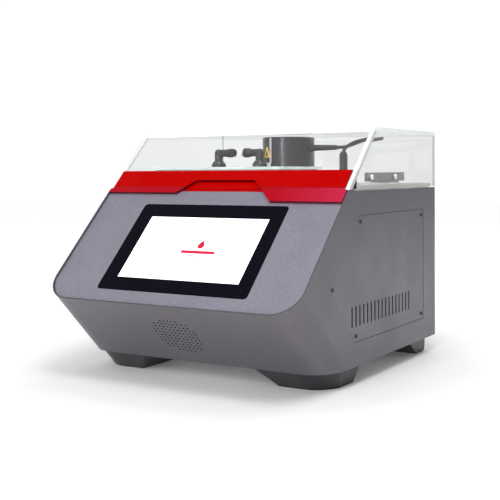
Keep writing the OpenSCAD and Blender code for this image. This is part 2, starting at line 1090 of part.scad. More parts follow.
module transducers() {
    color("#a9a9ac")
    for (x = [-125, -60, 5])
        translate([x, (lid_y0 + lid_y1) / 2, 0]) {
            translate([0, 0, tank_low - 22])
                cylinder(d1 = 38, d2 = 56, h = 22);
            translate([0, 0, tank_low - 34])
                cylinder(d = 34, h = 12);
            translate([0, 0, tank_low - 52])
                cylinder(d = 38, h = 18);
        }
}

// Motor and carousel

module motor_housing() {
    color("#3f3e42")
    translate([motor_x, motor_y, lid_top])
        difference() {
            rotate_extrude($fn = 96)
                polygon([
                    [shaft_d / 2 + 3, 0],
                    [motor_r, 0],
                    [motor_r, motor_h - 1],
                    [motor_r - 1, motor_h],
                    [0, motor_h],
                    [0, motor_h - motor_wall],
                    [motor_r - motor_wall, motor_h - motor_wall],
                    [motor_r - motor_wall, motor_wall],
                    [shaft_d / 2 + 3, motor_wall]
                ]);
            translate([0, 0, lead_rise])
                rotate([0, 90, 0])
                    cylinder(d = lead_d + 1, h = motor_r + cut, $fn = 32);
        }
}

module motor() {
    color("#77787c")
    translate([motor_x, motor_y, lid_top + motor_wall]) {
        difference() {
            cylinder(d = 56, h = motor_h - 2 * motor_wall - 6);
            translate([0, 0, -cut])
                cylinder(d = shaft_d + 2 * run_gap, h = motor_h);
        }
    }
}

carousel_z = body_top - 6;
shaft_top = lid_top + motor_h - motor_wall - 12;

module motor_shaft() {
    color("#c3c4c6")
    translate([motor_x, motor_y, carousel_z - 10])
        cylinder(d = shaft_d, h = shaft_top - carousel_z + 10);
}

module at_tubes() {
    for (i = [0 : tube_n - 1])
        translate([motor_x, motor_y, 0])
            rotate([0, 0, i * 360 / tube_n])
                translate([tube_circle_r, 0, 0])
                    children();
}

carousel_r = min(tube_circle_r + tube_d / 2 + 2, lid_r - tank_in - tank_t - 1);

module tube_carousel() {
    color("#e4e4e2")
    difference() {
        translate([motor_x, motor_y, carousel_z])
            cylinder(r = carousel_r, h = 8);
        translate([motor_x, motor_y, carousel_z - cut])
            cylinder(d = shaft_d + 2 * hold_gap, h = 8 + 2 * cut);
        at_tubes()
            translate([0, 0, carousel_z - cut])
                cylinder(d = tube_d + 2 * hold_gap, h = 8 + 2 * cut, $fn = 48);
    }
}

module sample_tubes() {
    color("#d8e4ee", 0.6)
    at_tubes() {
        translate([0, 0, carousel_z + 8])
            cylinder(d = tube_d + 3, h = 7, $fn = 48);
        translate([0, 0, carousel_z + 8 - tube_l * 0.7])
            cylinder(d = tube_d, h = tube_l * 0.7, $fn = 48);
        translate([0, 0, carousel_z + 8 - tube_l])
            cylinder(d1 = 3, d2 = tube_d, h = tube_l * 0.3, $fn = 48);
    }
}

// Motor lead

module cable_boot() {
    color("#333237")
    translate([motor_x + motor_r, motor_y, lid_top + lead_rise])
        rotate([0, 90, 0])
            difference() {
                union() {
                    translate([0, 0, 0.2])
                        cylinder(d = boot_d + 2, h = 3, $fn = 48);
                    translate([0, 0, 3])
                        cylinder(d1 = boot_d, d2 = lead_d + 2.4, h = boot_l - 3, $fn = 48);
                }
                translate([0, 0, -cut])
                    cylinder(d = lead_d + 2 * hold_gap + 0.2, h = boot_l + 2 * cut, $fn = 48);
            }
}

plug_top = body_top + plug_h;
// The lead's route from the motor's boot to its plug, a turn at a time
lead_route = [
    [motor_x + motor_r - 2, motor_y, lead_z],
    [motor_x + motor_r + boot_l, motor_y, lead_z],
    [100, 103, 318],
    [112, 103, 321],
    [124, 103, 325],
    [136, 102, 328],
    [148, 100, 330],
    [157, 96, 331],
    [161, 90, 331],
    [159, 84, 330],
    [152, 80, 329],
    [142, 79, 327],
    [132, 79, 325],
    [122, 80, 322],
    [114, 81, 318],
    [109, 81, 314],
    [plug_at[0], plug_at[1], plug_top]
];

function lead_heading(i) = unit(
    i == 0 ? [1, 0, 0] :
    i == len(lead_route) - 1 ? [0, 0, -1] :
    lead_route[i + 1] - lead_route[i - 1]
);
lead_side_ref = unit([1, 2, 1]);
lead_sides = 10;

// The ring of points around the lead at stop i
function lead_ring(i) =
    let (
        t = lead_heading(i),
        u = unit(cross(t, lead_side_ref)),
        v = cross(t, u)
    ) [
        for (k = [0 : lead_sides - 1])
            lead_route[i] + lead_d / 2 * (cos(k * 360 / lead_sides) * u + sin(k * 360 / lead_sides) * v)
    ];

module motor_cable() {
    n = len(lead_route);
    m = lead_sides;
    color("#2e2d32")
        polyhedron(
            points = [for (i = [0 : n - 1]) each lead_ring(i)],
            faces = [
                [for (k = [0 : m - 1]) k],
                for (i = [0 : n - 2], k = [0 : m - 1])
                    [i * m + k, (i + 1) * m + k, (i + 1) * m + (k + 1) % m],
                for (i = [0 : n - 2], k = [0 : m - 1])
                    [i * m + k, (i + 1) * m + (k + 1) % m, i * m + (k + 1) % m],
                [for (k = [m - 1 : -1 : 0]) (n - 1) * m + k]
            ]
        );
}

socket_h = rim_h + 3;
ring_h = 14;
ring_z = body_top + socket_h + 1;

module connector_plug() {
    low = body_top + socket_h - 0.4;
    rib_n = 7;
    rib_z = ring_z + ring_h + 1;
    pitch = (plug_top - 4 - rib_z) / rib_n;
    color("#47464b")
    translate([plug_at[0], plug_at[1], 0]) {
        translate([0, 0, low])
            cylinder(d = plug_d - 2, h = plug_top - 4 - low, $fn = 48);
        for (i = [0 : rib_n - 1])
            translate([0, 0, rib_z + i * pitch])
                cylinder(d = plug_d, h = pitch * 0.6, $fn = 48);
        translate([0, 0, plug_top - 4])
            cylinder(d1 = plug_d - 1.4, d2 = plug_d - 5, h = 4, $fn = 48);
    }
}

module coupling_ring() {
    color("#5b5a5f")
    translate([plug_at[0], plug_at[1], ring_z])
        difference() {
            union() {
                cylinder(d = plug_d + 4, h = ring_h, $fn = 48);
                for (i = [0 : 11])
                    rotate([0, 0, i * 30])
                        translate([plug_d / 2 + 2, 0, 2])
                            cylinder(d = 1.6, h = ring_h - 4, $fn = 16);
            }
            translate([0, 0, -cut])
                cylinder(d = plug_d - 2 + 4 * run_gap, h = ring_h + 2 * cut, $fn = 48);
        }
}

module connector_socket() {
    color("#8f9094")
    translate([plug_at[0], plug_at[1], 0]) {
        translate([0, 0, body_top])
            cylinder(d = plug_d + 9, h = 3, $fn = 48);
        translate([0, 0, body_top + 3])
            cylinder(d = plug_d + 3, h = socket_h - 3.4, $fn = 48);
        translate([0, 0, body_top - 12])
            cylinder(d = 15, h = 12, $fn = 48);
    }
}

// Water fittings

nut_d = 23;
nut_h = 10;
stem_d = 9;

module elbow_nuts() {
    color("#343338")
    for (p = [elbow_left_at, elbow_right_at])
        translate([p[0], p[1], lid_top])
            difference() {
                union() {
                    cylinder(d = nut_d, h = 5, $fn = 12);
                    translate([0, 0, 5])
                        cylinder(d1 = nut_d - 1, d2 = stem_d + 6, h = nut_h - 5);
                    translate([0, 0, -lid_t - 6])
                        cylinder(d = hose_d + 3.6, h = lid_t + 7);
                }
                translate([0, 0, -lid_t - 6 - cut])
                    cylinder(d = stem_d + 2 * run_gap, h = lid_t + nut_h + 6 + 2 * cut);
            }
}

// An elbow that points along +X from its upright at the origin of its place
module elbow(flare) {
    arm = elbow_l;
    difference() {
        union() {
            translate([0, 0, lid_top])
                cylinder(d = stem_d, h = elbow_rise);
            translate([0, 0, lid_top + nut_h + 0.4])
                cylinder(d = stem_d + 4, h = elbow_rise - nut_h - 0.4);
            translate([0, 0, elbow_z])
                sphere(d = elbow_d - 0.6);
            translate([0, 0, elbow_z])
                rotate([0, 90, 0]) {
                    cylinder(d = elbow_d - 2, h = arm - 8);
                    translate([0, 0, arm - 12])
                        cylinder(d1 = elbow_d - 2, d2 = elbow_d + flare, h = 4);
                    translate([0, 0, arm - 8])
                        cylinder(d = elbow_d + flare, h = 8);
                }
        }
        translate([0, 0, elbow_z])
            rotate([0, 90, 0]) {
                translate([0, 0, arm - 16])
                    cylinder(d = hose_d + 0.2, h = 16 + cut);
                translate([0, 0, arm - 7])
                    cylinder(d = hose_d + 2.4, h = 7 + cut);
                cylinder(d = hose_d - 3, h = arm);
            }
        translate([0, 0, lid_top - cut])
            cylinder(d = hose_d - 3, h = elbow_rise + cut);
    }
}

module elbow_at(side) {
    place = side < 0 ? elbow_left_at : elbow_right_at;
    translate([place[0], place[1], 0])
        rotate([0, 0, side < 0 ? 0 : 180])
            children();
}

module elbow_left() {
    color("#38373c")
    elbow_at(-1)
        elbow(0);
}

module elbow_right() {
    color("#38373c")
    elbow_at(1)
        elbow(1);
}

// The release collet in an elbow's arm, with its lip outside
module collet() {
    translate([elbow_l, 0, elbow_z])
        rotate([0, 90, 0])
            difference() {
                union() {
                    translate([0, 0, -4.6])
                        cylinder(d = hose_d + 2.4 - 2 * run_gap, h = 6.6);
                    translate([0, 0, 2])
                        cylinder(d = hose_d + 3.6, h = 1.5);
                }
                translate([0, 0, -5])
                    cylinder(d = hose_d + 0.4, h = 10);
            }
}

module collet_left() {
    color("#2c2b30")
    elbow_at(-1)
        collet();
}

module collet_right() {
    color("#e8e6e1")
    elbow_at(1)
        collet();
}

// Rear fittings and electronics

module at_ports() {
    for (side = [-1, 1])
        translate([port_x + side * port_pitch / 2, body_back, port_z])
            rotate([-90, 0, 0])
                children();
}

module coolant_ports() {
    color("#39383d")
    at_ports()
        difference() {
            union() {
                cylinder(d = 20, h = 6, $fn = 6);
                cylinder(d = 15, h = port_l);
                translate([0, 0, -wall - 8])
                    cylinder(d = 14, h = wall + 8);
                translate([0, 0, -wall - 5])
                    cylinder(d = 20, h = 5, $fn = 6);
            }
            translate([0, 0, port_l - port_depth])
                cylinder(r = hose_d / 2 + 0.03, h = port_depth + cut);
            translate([0, 0, -wall - 8 - cut])
                cylinder(d = hose_d - 3, h = port_l + wall + 8 + cut);
        }
}

module coolant_hoses() {
    back = lid_y1 - tank_in;
    l = body_back - wall - 8 - back;
    color("#4a6d8c")
    at_ports()
        translate([0, 0, -wall - 8 - l])
            difference() {
                cylinder(d = hose_d, h = l);
                translate([0, 0, -cut])
                    cylinder(d = hose_d - 3, h = l + 2 * cut);
            }
}

module generator_board() {
    z = body_z0 + wall + standoff_h;
    color("#2d6a44")
    translate([-60, 20, 0]) {
        translate([-75, -60, z])
            cube([150, 120, board_t]);
        translate([-60, -45, z + board_t])
            cube([50, 36, 28]);
        translate([10, -40, z + board_t])
            cylinder(d = 30, h = 22);
        for (i = [0 : 6])
            translate([-60 + i * 8, 10, z + board_t])
                cube([3, 40, 26]);
        for (x = [-1, 1], y = [-1, 1])
            translate([x * 68, y * 53, z - standoff_h])
                cylinder(d = 6, h = standoff_h, $fn = 24);
    }
}

module power_supply() {
    color("#b4b5b8")
    translate([75, -60, body_z0 + wall])
        difference() {
            cube([98, 160, 42]);
            for (i = [0 : 8])
                translate([15 + i * 8.5, 20, 40])
                    cube([3, 100, 5]);
        }
}

module fan_frame() {
    color("#2b2b2f")
    difference() {
        on_rear(panel_y - fan_t, fan_t)
            translate(fan_at)
                difference() {
                    rounded_box(fan_size, fan_size, 4);
                    circle(d = fan_size - 4);
                    for (x = [-1, 1], z = [-1, 1])
                        translate([x, z] * (fan_size / 2 - 4.25))
                            circle(d = 4.5, $fn = 32);
                }
    }
    on_rear(panel_y - fan_t, 3)
        translate(fan_at)
            difference() {
                union() {
                    circle(d = fan_size * 0.4);
                    for (a = [45, 135])
                        rotate(a)
                            square([fan_size - 2, 4], center = true);
                }
                circle(d = fan_axle_d + 2 * run_gap);
            }
}

module fan_rotor() {
    blade_n = 7;
    r = fan_size / 2 - 4;
    hub = fan_size * 0.19;
    color("#232327")
    translate([fan_at[0], panel_y - fan_t + 4, fan_at[1]])
        rotate([-90, 0, 0]) {
            cylinder(r = hub, h = fan_t - 7);
            translate([0, 0, -3.5])
                cylinder(d = fan_axle_d, h = 4);
            for (i = [0 : blade_n - 1])
                rotate([0, 0, i * 360 / blade_n])
                    translate([0, 0, (fan_t - 7) / 2])
                        rotate([35, 0, 0])
                            translate([hub - 2, -1, -(fan_t - 13) / 2])
                                cube([r - hub, 2, fan_t - 13]);
        }
}

module fan_guard() {
    color("#c5c6c8")
    on_rear(body_back, 2)
        translate(fan_at) {
            for (r = [12 : 8 : fan_size / 2 - 2])
                difference() {
                    circle(r + 1);
                    circle(r - 1);
                }
            for (a = [45, 135])
                rotate(a)
                    square([fan_size * 1.22, 3], center = true);
        }
}

switch_z = 26;
drawer_z = 9;
socket_z = -18;
rocker_r = 8;
rocker_w = 20;
drawer_w = 24;
drawer_h = 9;

module power_inlet() {
    color("#232327")
    translate([inlet_at[0], body_back, inlet_at[1]])
        difference() {
            union() {
                translate([-inlet_w / 2, 0, -inlet_h / 2])
                    cube([inlet_w, 3, inlet_h]);
                translate([-inlet_w / 2 + 2.5, -inlet_depth, -inlet_h / 2 + 2.5])
                    cube([inlet_w - 5, inlet_depth, inlet_h - 5]);
            }
            translate([0, 0, socket_z])
                rotate([90, 0, 0])
                    translate([0, 0, -3 - cut])
                        linear_extrude(22)
                            socket_outline();
            translate([-drawer_w / 2 - travel_gap, -inlet_depth + 6, drawer_z - drawer_h / 2 - travel_gap])
                cube([drawer_w + 2 * travel_gap, inlet_depth, drawer_h + 2 * travel_gap]);
            translate([-rocker_w / 2 - travel_gap, -4, switch_z])
                rotate([0, 90, 0])
                    cylinder(r = rocker_r + travel_gap, h = rocker_w + 2 * travel_gap);
        }
    color("#c8b56a")
    translate([inlet_at[0], body_back, inlet_at[1] + socket_z])
        for (x = [-7, 0, 7])
            translate([x - 1, -20, x == 0 ? 2 : -4])
                cube([2, 17, 4]);
}

module socket_outline() {
    polygon([[-12, -8], [12, -8], [12, 4], [8, 8.5], [-8, 8.5], [-12, 4]]);
}

module rocker_switch() {
    dip = 7;
    color("#b81219")
    translate([inlet_at[0] - rocker_w / 2, body_back - 4, inlet_at[1] + switch_z])
        rotate([90, 0, 90])
            linear_extrude(rocker_w)
                intersection() {
                    circle(rocker_r);
                    rotate(dip)
                        polygon([
                            [-rocker_r, -rocker_r],
                            [7.8, -rocker_r],
                            [6.6, 0],
                            [7.8, rocker_r],
                            [-rocker_r, rocker_r]
                        ]);
                }
}

module fuse_drawer() {
    color("#2f2f34")
    translate([inlet_at[0], body_back, inlet_at[1] + drawer_z])
        difference() {
            union() {
                translate([-drawer_w / 2, -inlet_depth + 8, -drawer_h / 2])
                    cube([drawer_w, inlet_depth - 4, drawer_h]);
                translate([-drawer_w / 2 - 1.5, 3.1, -drawer_h / 2 - 1.5])
                    cube([drawer_w + 3, 2, drawer_h + 3]);
            }
            translate([-drawer_w / 2 + 2, -inlet_depth + 10, -drawer_h / 2 + 1.5])
                cube([drawer_w - 4, inlet_depth - 14, drawer_h]);
        }
}

casing();
front_panel();
base_plate();
rear_panel();
side_panel_left();
side_panel_right();
casing_screws();
front_feet();
rear_feet();
display_bezel();
display_screen();
controller_board();
speaker();
trim_wing_left();
trim_wing_right();
trim_strip();
deck_plate();
deck_rim();
tank_surround();
tank();
lid_seal();
tank_lid();
transducers();
motor_housing();
motor();
motor_shaft();
tube_carousel();
sample_tubes();
cable_boot();
motor_cable();
connector_plug();
coupling_ring();
connector_socket();
elbow_nuts();
elbow_left();
elbow_right();
collet_left();
collet_right();
cover_front_pane();
cover_top_pane();
cover_left_pane();
cover_right_pane();
cover_back_pane();
cover_band();
cover_bars();
cover_bar_screws();
cover_corner_blocks();
cover_hinge_leaves();
body_hinge_leaves();
hinge_pins();
generator_board();
power_supply();
fan_frame();
fan_rotor();
fan_guard();
power_inlet();
rocker_switch();
fuse_drawer();
coolant_ports();
coolant_hoses();
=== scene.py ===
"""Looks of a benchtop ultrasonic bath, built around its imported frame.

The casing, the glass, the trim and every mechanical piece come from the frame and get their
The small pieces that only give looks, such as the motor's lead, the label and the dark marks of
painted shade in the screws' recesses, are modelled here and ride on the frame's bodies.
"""

from __future__ import annotations

import logging
import math
from dataclasses import dataclass
from enum import Enum

import bpy
from mathutils import Matrix, Vector


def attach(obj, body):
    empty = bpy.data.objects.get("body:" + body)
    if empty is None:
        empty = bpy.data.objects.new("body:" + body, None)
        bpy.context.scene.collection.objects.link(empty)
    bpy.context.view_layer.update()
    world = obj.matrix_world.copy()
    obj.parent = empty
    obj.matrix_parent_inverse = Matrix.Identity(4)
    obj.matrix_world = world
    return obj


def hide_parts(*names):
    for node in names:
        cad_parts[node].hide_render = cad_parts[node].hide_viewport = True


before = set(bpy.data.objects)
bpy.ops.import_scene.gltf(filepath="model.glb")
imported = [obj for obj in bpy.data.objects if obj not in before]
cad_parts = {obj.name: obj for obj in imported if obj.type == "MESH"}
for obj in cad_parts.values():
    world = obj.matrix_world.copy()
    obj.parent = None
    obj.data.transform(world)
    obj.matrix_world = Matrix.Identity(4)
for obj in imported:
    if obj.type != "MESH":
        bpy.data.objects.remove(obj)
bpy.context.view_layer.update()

log = logging.getLogger("bath")
Colour = tuple[float, float, float, float]
MM = 0.001
# The casing's upper front edge, in Y and Z, and the screen's face behind the front panel's plane
TOP_FRONT = (-95.0, 257.0)
SCREEN_FACE = -2.4
# The front slopes at 45 degrees: its tilt, the sine of that, and the way that it faces
SLOPE = 45.0
HALF = math.sqrt(0.5)
OUT_OF_SLOPE = (0.0, -HALF, HALF)
# A face counts as turned a given way when the cosine of the angle between them is above this
FACING = 0.9


def srgb(code: str) -> Colour:
    """Turns an sRGB hex value into a linear colour.

    Args:
        code: Six hex digits, such as "8f8d99".

    Returns:
        The linear red, green and blue, and an alpha of one.
    """
    parts = [int(code[i : i + 2], 16) / 255 for i in (0, 2, 4)]
    linear = [p / 12.92 if p <= 0.04045 else ((p + 0.055) / 1.055) ** 2.4 for p in parts]
    return (*linear, 1.0)


def add(
    tree: bpy.types.NodeTree, kind: str, inputs: dict | None = None, **settings: object
) -> bpy.types.Node:
    """Adds a node with its settings and its links.

    Args:
        tree: The node tree that takes the node.
        kind: The node's type, such as "ShaderNodeMix".
        inputs: What goes into each input, by name or number: a value, or an output to link from.
        **settings: Attributes of the node itself.

    Returns:
        The new node.
    """
    node = tree.nodes.new(kind)
    for name, value in settings.items():
        setattr(node, name, value)
    for key, value in (inputs or {}).items():
        if isinstance(value, bpy.types.NodeSocket):
            tree.links.new(value, node.inputs[key])
        else:
            node.inputs[key].default_value = value
    return node


class Grain(Enum):
    """How a surface was made, which sets the pattern of its grain."""

    SPRAYED = "sprayed"
    MOULDED = "moulded"
    BRUSHED_X = "brushed along X"
    BRUSHED_Y = "brushed along Y"
    TURNED = "turned about Z"
    ROLLED = "rolled"


# How much the grain is stretched along X, Y and Z for each way of making a surface
STRETCH = {
    Grain.SPRAYED: (1.0, 1.0, 1.0),
    Grain.MOULDED: (1.0, 1.0, 1.0),
    Grain.BRUSHED_X: (0.02, 1.0, 1.0),
    Grain.BRUSHED_Y: (1.0, 0.02, 1.0),
    Grain.TURNED: (0.04, 0.04, 1.0),
    Grain.ROLLED: (0.3, 0.3, 0.3),
}


@dataclass(frozen=True)
class Finish:
    """An opaque finish with a fine grain, a slow colour variation and worn or dusty patches."""

    name: str
    colour: str
    roughness: float
    metallic: float = 0.0
    ior: float = 1.5
    coat: float = 0.0
    coat_roughness: float = 0.05
    grain: Grain = Grain.MOULDED
    grain_mm: float = 0.8
    grain_depth: float = 0.1
    shade: float = 0.06
    cloud_mm: float = 60.0
    rough_spread: float = 0.06
    flake: float = 0.0
    flake_mm: float = 0.9
    glow: float = 0.0
    specular: float = 0.5
    # A painted reflection: the colour fades into this one along X, between these places in
    # millimetres
    painted_reflection: str = ""
    painted_reflection_mm: tuple[float, float] = (0.0, 1.0)
    foot_pad: str = ""
    # Painted shade: the colour of a sloping sheet's cut edges
    painted_edge_shade: str = ""

    def build(self) -> bpy.types.Material:
        """Makes the material.

        Returns:
            The material, with its colour, roughness and bump from nodes.
        """
        material = bpy.data.materials.new(self.name)
        material.use_nodes = True
        tree = material.node_tree
        tree.nodes.clear()
        place = add(tree, "ShaderNodeTexCoord").outputs["Object"]
        grain = self.noise(tree, place, self.grain_mm, STRETCH[self.grain])
        cloud = self.noise(tree, place, self.cloud_mm, (1.0, 1.0, 1.0))
        base = srgb(self.colour)
        dark = (*[c * (1 - self.shade) for c in base[:3]], 1.0)
        light = (*[min(c * (1 + self.shade), 1.0) for c in base[:3]], 1.0)
        blend = add(tree, "ShaderNodeMath", {0: grain, 1: cloud}, operation="ADD").outputs[0]
        spread = add(
            tree, "ShaderNodeMapRange", {"Value": blend, "From Min": 0.7, "From Max": 1.3}
        ).outputs["Result"]
        colour = self.mix(tree, spread, dark, light)
        if self.flake:
            colour = self.flakes(tree, place, colour, light)
        # Painted reflection along X
        if self.painted_reflection:
            colour = self.fade(tree, place, colour)
        if self.foot_pad:
            colour = self.pad(tree, place, colour)
        # Painted shade on the cut edges
        if self.painted_edge_shade:
            colour = self.paint_edge_shade(tree, colour)
        rough = add(
            tree,
            "ShaderNodeMapRange",
            {
                "Value": cloud,
                "From Min": 0.3,
                "From Max": 0.7,
                "To Min": max(self.roughness - self.rough_spread, 0.02),
                "To Max": self.roughness + self.rough_spread,
            },
        ).outputs["Result"]
        bump = add(
            tree,
            "ShaderNodeBump",
            {"Height": grain, "Strength": self.grain_depth, "Distance": self.grain_mm * MM * 0.2},
        ).outputs["Normal"]
        shader = add(
            tree,
            "ShaderNodeBsdfPrincipled",
            {
                "Base Color": colour,
                "Roughness": rough,
                "Metallic": self.metallic,
                "IOR": self.ior,
                "Coat Weight": self.coat,
                "Coat Roughness": self.coat_roughness,
                "Specular IOR Level": self.specular,
                "Normal": bump,
            },
        )
        if self.glow:
            shader.inputs["Emission Color"].default_value = base
            shader.inputs["Emission Strength"].default_value = self.glow
        add(tree, "ShaderNodeOutputMaterial", {"Surface": shader.outputs["BSDF"]})
        return material

    @staticmethod
    def noise(
        tree: bpy.types.NodeTree,
        place: bpy.types.NodeSocket,
        size_mm: float,
        stretch: tuple[float, float, float],
    ) -> bpy.types.NodeSocket:
        """Adds a noise of a real size.

        Args:
            tree: The material's node tree.
            place: Object coordinates, in metres.
            size_mm: The size of one patch of the noise.
            stretch: Factors on its frequency along X, Y and Z.

        Returns:
            The noise's value, about 0.5 on average.
        """
        scale = 1 / (size_mm * MM)
        moved = add(
            tree, "ShaderNodeMapping", {"Vector": place, "Scale": tuple(scale * s for s in stretch)}
        ).outputs["Vector"]
        return add(
            tree, "ShaderNodeTexNoise", {"Vector": moved, "Scale": 1.0, "Detail": 2.0}
        ).outputs["Fac"]

    @staticmethod
    def mix(
        tree: bpy.types.NodeTree, factor: bpy.types.NodeSocket, dark: object, light: object
    ) -> bpy.types.NodeSocket:
        """Mixes two colours.

        Args:
            tree: The material's node tree.
            factor: Zero for the first colour and one for the second.
            dark: The first colour, or an output that gives it.
            light: The second colour, or an output that gives it.

        Returns:
            The mixed colour.
        """
        node = add(tree, "ShaderNodeMix", data_type="RGBA")
        for socket, value in ((0, factor), (6, dark), (7, light)):
            if isinstance(value, bpy.types.NodeSocket):
                tree.links.new(value, node.inputs[socket])
            else:
                node.inputs[socket].default_value = value
        return node.outputs[2]

    def fade(
        self, tree: bpy.types.NodeTree, place: bpy.types.NodeSocket, colour: bpy.types.NodeSocket
    ) -> bpy.types.NodeSocket:
        """Fades the colour into a second one along X, a painted reflection.

        Args:
            tree: The material's node tree.
            place: Object coordinates, in metres.
            colour: The colour where the fade starts.

        Returns:
            The colour with its painted reflection.
        """
        across = add(tree, "ShaderNodeSeparateXYZ", {"Vector": place}).outputs["X"]
        start, end = (v * MM for v in self.painted_reflection_mm)
        share = add(
            tree, "ShaderNodeMapRange", {"Value": across, "From Min": start, "From Max": end}
        ).outputs["Result"]
        return self.mix(tree, share, colour, srgb(self.painted_reflection))

    def pad(
        self, tree: bpy.types.NodeTree, place: bpy.types.NodeSocket, colour: bpy.types.NodeSocket
    ) -> bpy.types.NodeSocket:
        """Darkens the lowest 3 mm of a foot, where its rubber pad is.

        Args:
            tree: The material's node tree.
            place: Object coordinates, in metres.
            colour: The foot's own colour.

        Returns:
            The foot's colour with its pad.
        """
        height = add(tree, "ShaderNodeSeparateXYZ", {"Vector": place}).outputs["Z"]
        low = add(tree, "ShaderNodeMath", {0: height, 1: 3 * MM}, operation="LESS_THAN").outputs[0]
        return self.mix(tree, low, colour, srgb(self.foot_pad))

    def paint_edge_shade(
        self, tree: bpy.types.NodeTree, colour: bpy.types.NodeSocket
    ) -> bpy.types.NodeSocket:
        """Paints shade on the cut edges of a sheet that lies on the slope, for the dark lines of
        shadow along them.

        Args:
            tree: The material's node tree.
            colour: The sheet's colour on its face.

        Returns:
            The colour with its edges darkened by painted shade.
        """
        facing = add(
            tree,
            "ShaderNodeVectorMath",
            {0: add(tree, "ShaderNodeTexCoord").outputs["Normal"], 1: OUT_OF_SLOPE},
            operation="DOT_PRODUCT",
        ).outputs["Value"]
        cut = add(
            tree, "ShaderNodeMath", {0: facing, 1: FACING}, operation="LESS_THAN"
        ).outputs[0]
        return self.mix(tree, cut, colour, srgb(self.painted_edge_shade))

    def flakes(
        self,
        tree: bpy.types.NodeTree,
        place: bpy.types.NodeSocket,
        colour: bpy.types.NodeSocket,
        light: Colour,
    ) -> bpy.types.NodeSocket:
        """Adds the bright flakes of a metallic paint.

        Args:
            tree: The material's node tree.
            place: Object coordinates, in metres.
            colour: The paint's colour without flakes.
            light: The paint's lightest colour.

        Returns:
            The colour with its flakes.
        """
        cells = add(
            tree, "ShaderNodeTexVoronoi", {"Vector": place, "Scale": 1 / (self.flake_mm * MM)}
        ).outputs["Color"]
        pick = add(tree, "ShaderNodeSeparateColor", {"Color": cells}).outputs["Red"]
        share = add(
            tree, "ShaderNodeMapRange", {"Value": pick, "From Min": 0.6, "To Max": self.flake}
        ).outputs["Result"]
        bright = (*[min(c * 1.9, 1.0) for c in light[:3]], 1.0)
        return self.mix(tree, share, colour, bright)


@dataclass(frozen=True)
class Acrylic:
    """Clear acrylic sheet that lets lamps through, with some of its cut edges whitish: a frosted
    cut with a painted glint and a painted glow.
    """

    name: str
    tint: str
    edge: str
    cut_towards: tuple[tuple[tuple[float, float, float], float], ...]
    ior: float = 1.49
    # Strength of the painted glow on the whitish cut edges
    painted_edge_glow: float = 0.25

    def build(self) -> bpy.types.Material:
        """Makes the material.

        Returns:
            The material, clear on the sheet's faces and, on the named cut edges, frosted with a
            painted glint and a painted glow.
        """
        material = bpy.data.materials.new(self.name)
        material.use_nodes = True
        tree = material.node_tree
        tree.nodes.clear()
        coords = add(tree, "ShaderNodeTexCoord")
        edge = self.edge_mask(tree, coords.outputs["Normal"])
        saw = Finish.noise(tree, coords.outputs["Object"], 1.2, (1.0, 1.0, 1.0))
        rough = add(
            tree,
            "ShaderNodeMapRange",
            {"Value": saw, "From Min": 0.3, "From Max": 0.7, "To Min": 0.25, "To Max": 0.45},
        ).outputs["Result"]
        clear = add(
            tree,
            "ShaderNodeBsdfPrincipled",
            {
                "Base Color": srgb(self.tint),
                "Roughness": 0.0,
                "IOR": self.ior,
                "Transmission Weight": 1.0,
            },
        ).outputs["BSDF"]
        # The whitish cut edge: frosted, whitened as a painted glint, and glowing with painted light
        cut = add(
            tree,
            "ShaderNodeBsdfPrincipled",
            {
                "Base Color": srgb(self.edge),
                "Roughness": rough,
                "IOR": self.ior,
                "Emission Color": srgb(self.edge),
                "Emission Strength": self.painted_edge_glow,
            },
        ).outputs["BSDF"]
        sheet = add(tree, "ShaderNodeMixShader", {0: edge, 1: clear, 2: cut}).outputs[0]
        lamp = add(tree, "ShaderNodeLightPath").outputs["Is Shadow Ray"]
        passed = add(tree, "ShaderNodeBsdfTransparent", {"Color": (0.93, 0.94, 0.94, 1.0)})
        both = add(tree, "ShaderNodeMixShader", {0: lamp, 1: sheet, 2: passed.outputs[0]})
        add(tree, "ShaderNodeOutputMaterial", {"Surface": both.outputs[0]})
        return material

    def edge_mask(
        self, tree: bpy.types.NodeTree, normal: bpy.types.NodeSocket
    ) -> bpy.types.NodeSocket:
        """Finds the cut edges by the way that they face.

        Args:
            tree: The material's node tree.
            normal: The surface's own direction, in the object's frame.

        Returns:
            The share of frosting with its painted glint and glow, zero on the sheet's faces.
        """
        total = 0.0
        for way, share in self.cut_towards:
            facing = add(
                tree, "ShaderNodeVectorMath", {0: normal, 1: way}, operation="DOT_PRODUCT"
            ).outputs["Value"]
            hit = add(
                tree, "ShaderNodeMath", {0: facing, 1: FACING}, operation="GREATER_THAN"
            ).outputs[0]
            total = add(
                tree, "ShaderNodeMath", {0: hit, 1: share, 2: total}, operation="MULTIPLY_ADD"
            ).outputs[0]
        return total


# Baked metallic paint on folded sheet: small flakes, a faint orange peel and a satin shine
CASING_PAINT = Finish(
    "dark_metallic_paint", "67646a", 0.4, metallic=0.55, grain=Grain.SPRAYED, grain_mm=1.6,
    grain_depth=0.12, shade=0.05, flake=0.3,
)
# The same paint in a light grey with a lavender cast
PANEL_PAINT = Finish(
    "light_metallic_paint", "9694a2", 0.4, metallic=0.5, grain=Grain.SPRAYED, grain_mm=1.4,
    grain_depth=0.1, shade=0.04, flake=0.3,
)
# Glass printed black on its back: deep, smooth and glossy
BLACK_GLASS = Finish(
    "black_printed_glass", "0b0812", 0.06, ior=1.52, grain_mm=0.5, grain_depth=0.0, shade=0.1,
    rough_spread=0.02, specular=0.12,
)
# A lit liquid crystal screen under glass
LIT_SCREEN = Finish(
    "lit_screen", "f7f8fb", 0.12, grain_mm=0.6, grain_depth=0.0, shade=0.01, rough_spread=0.02,
    glow=0.75,
)
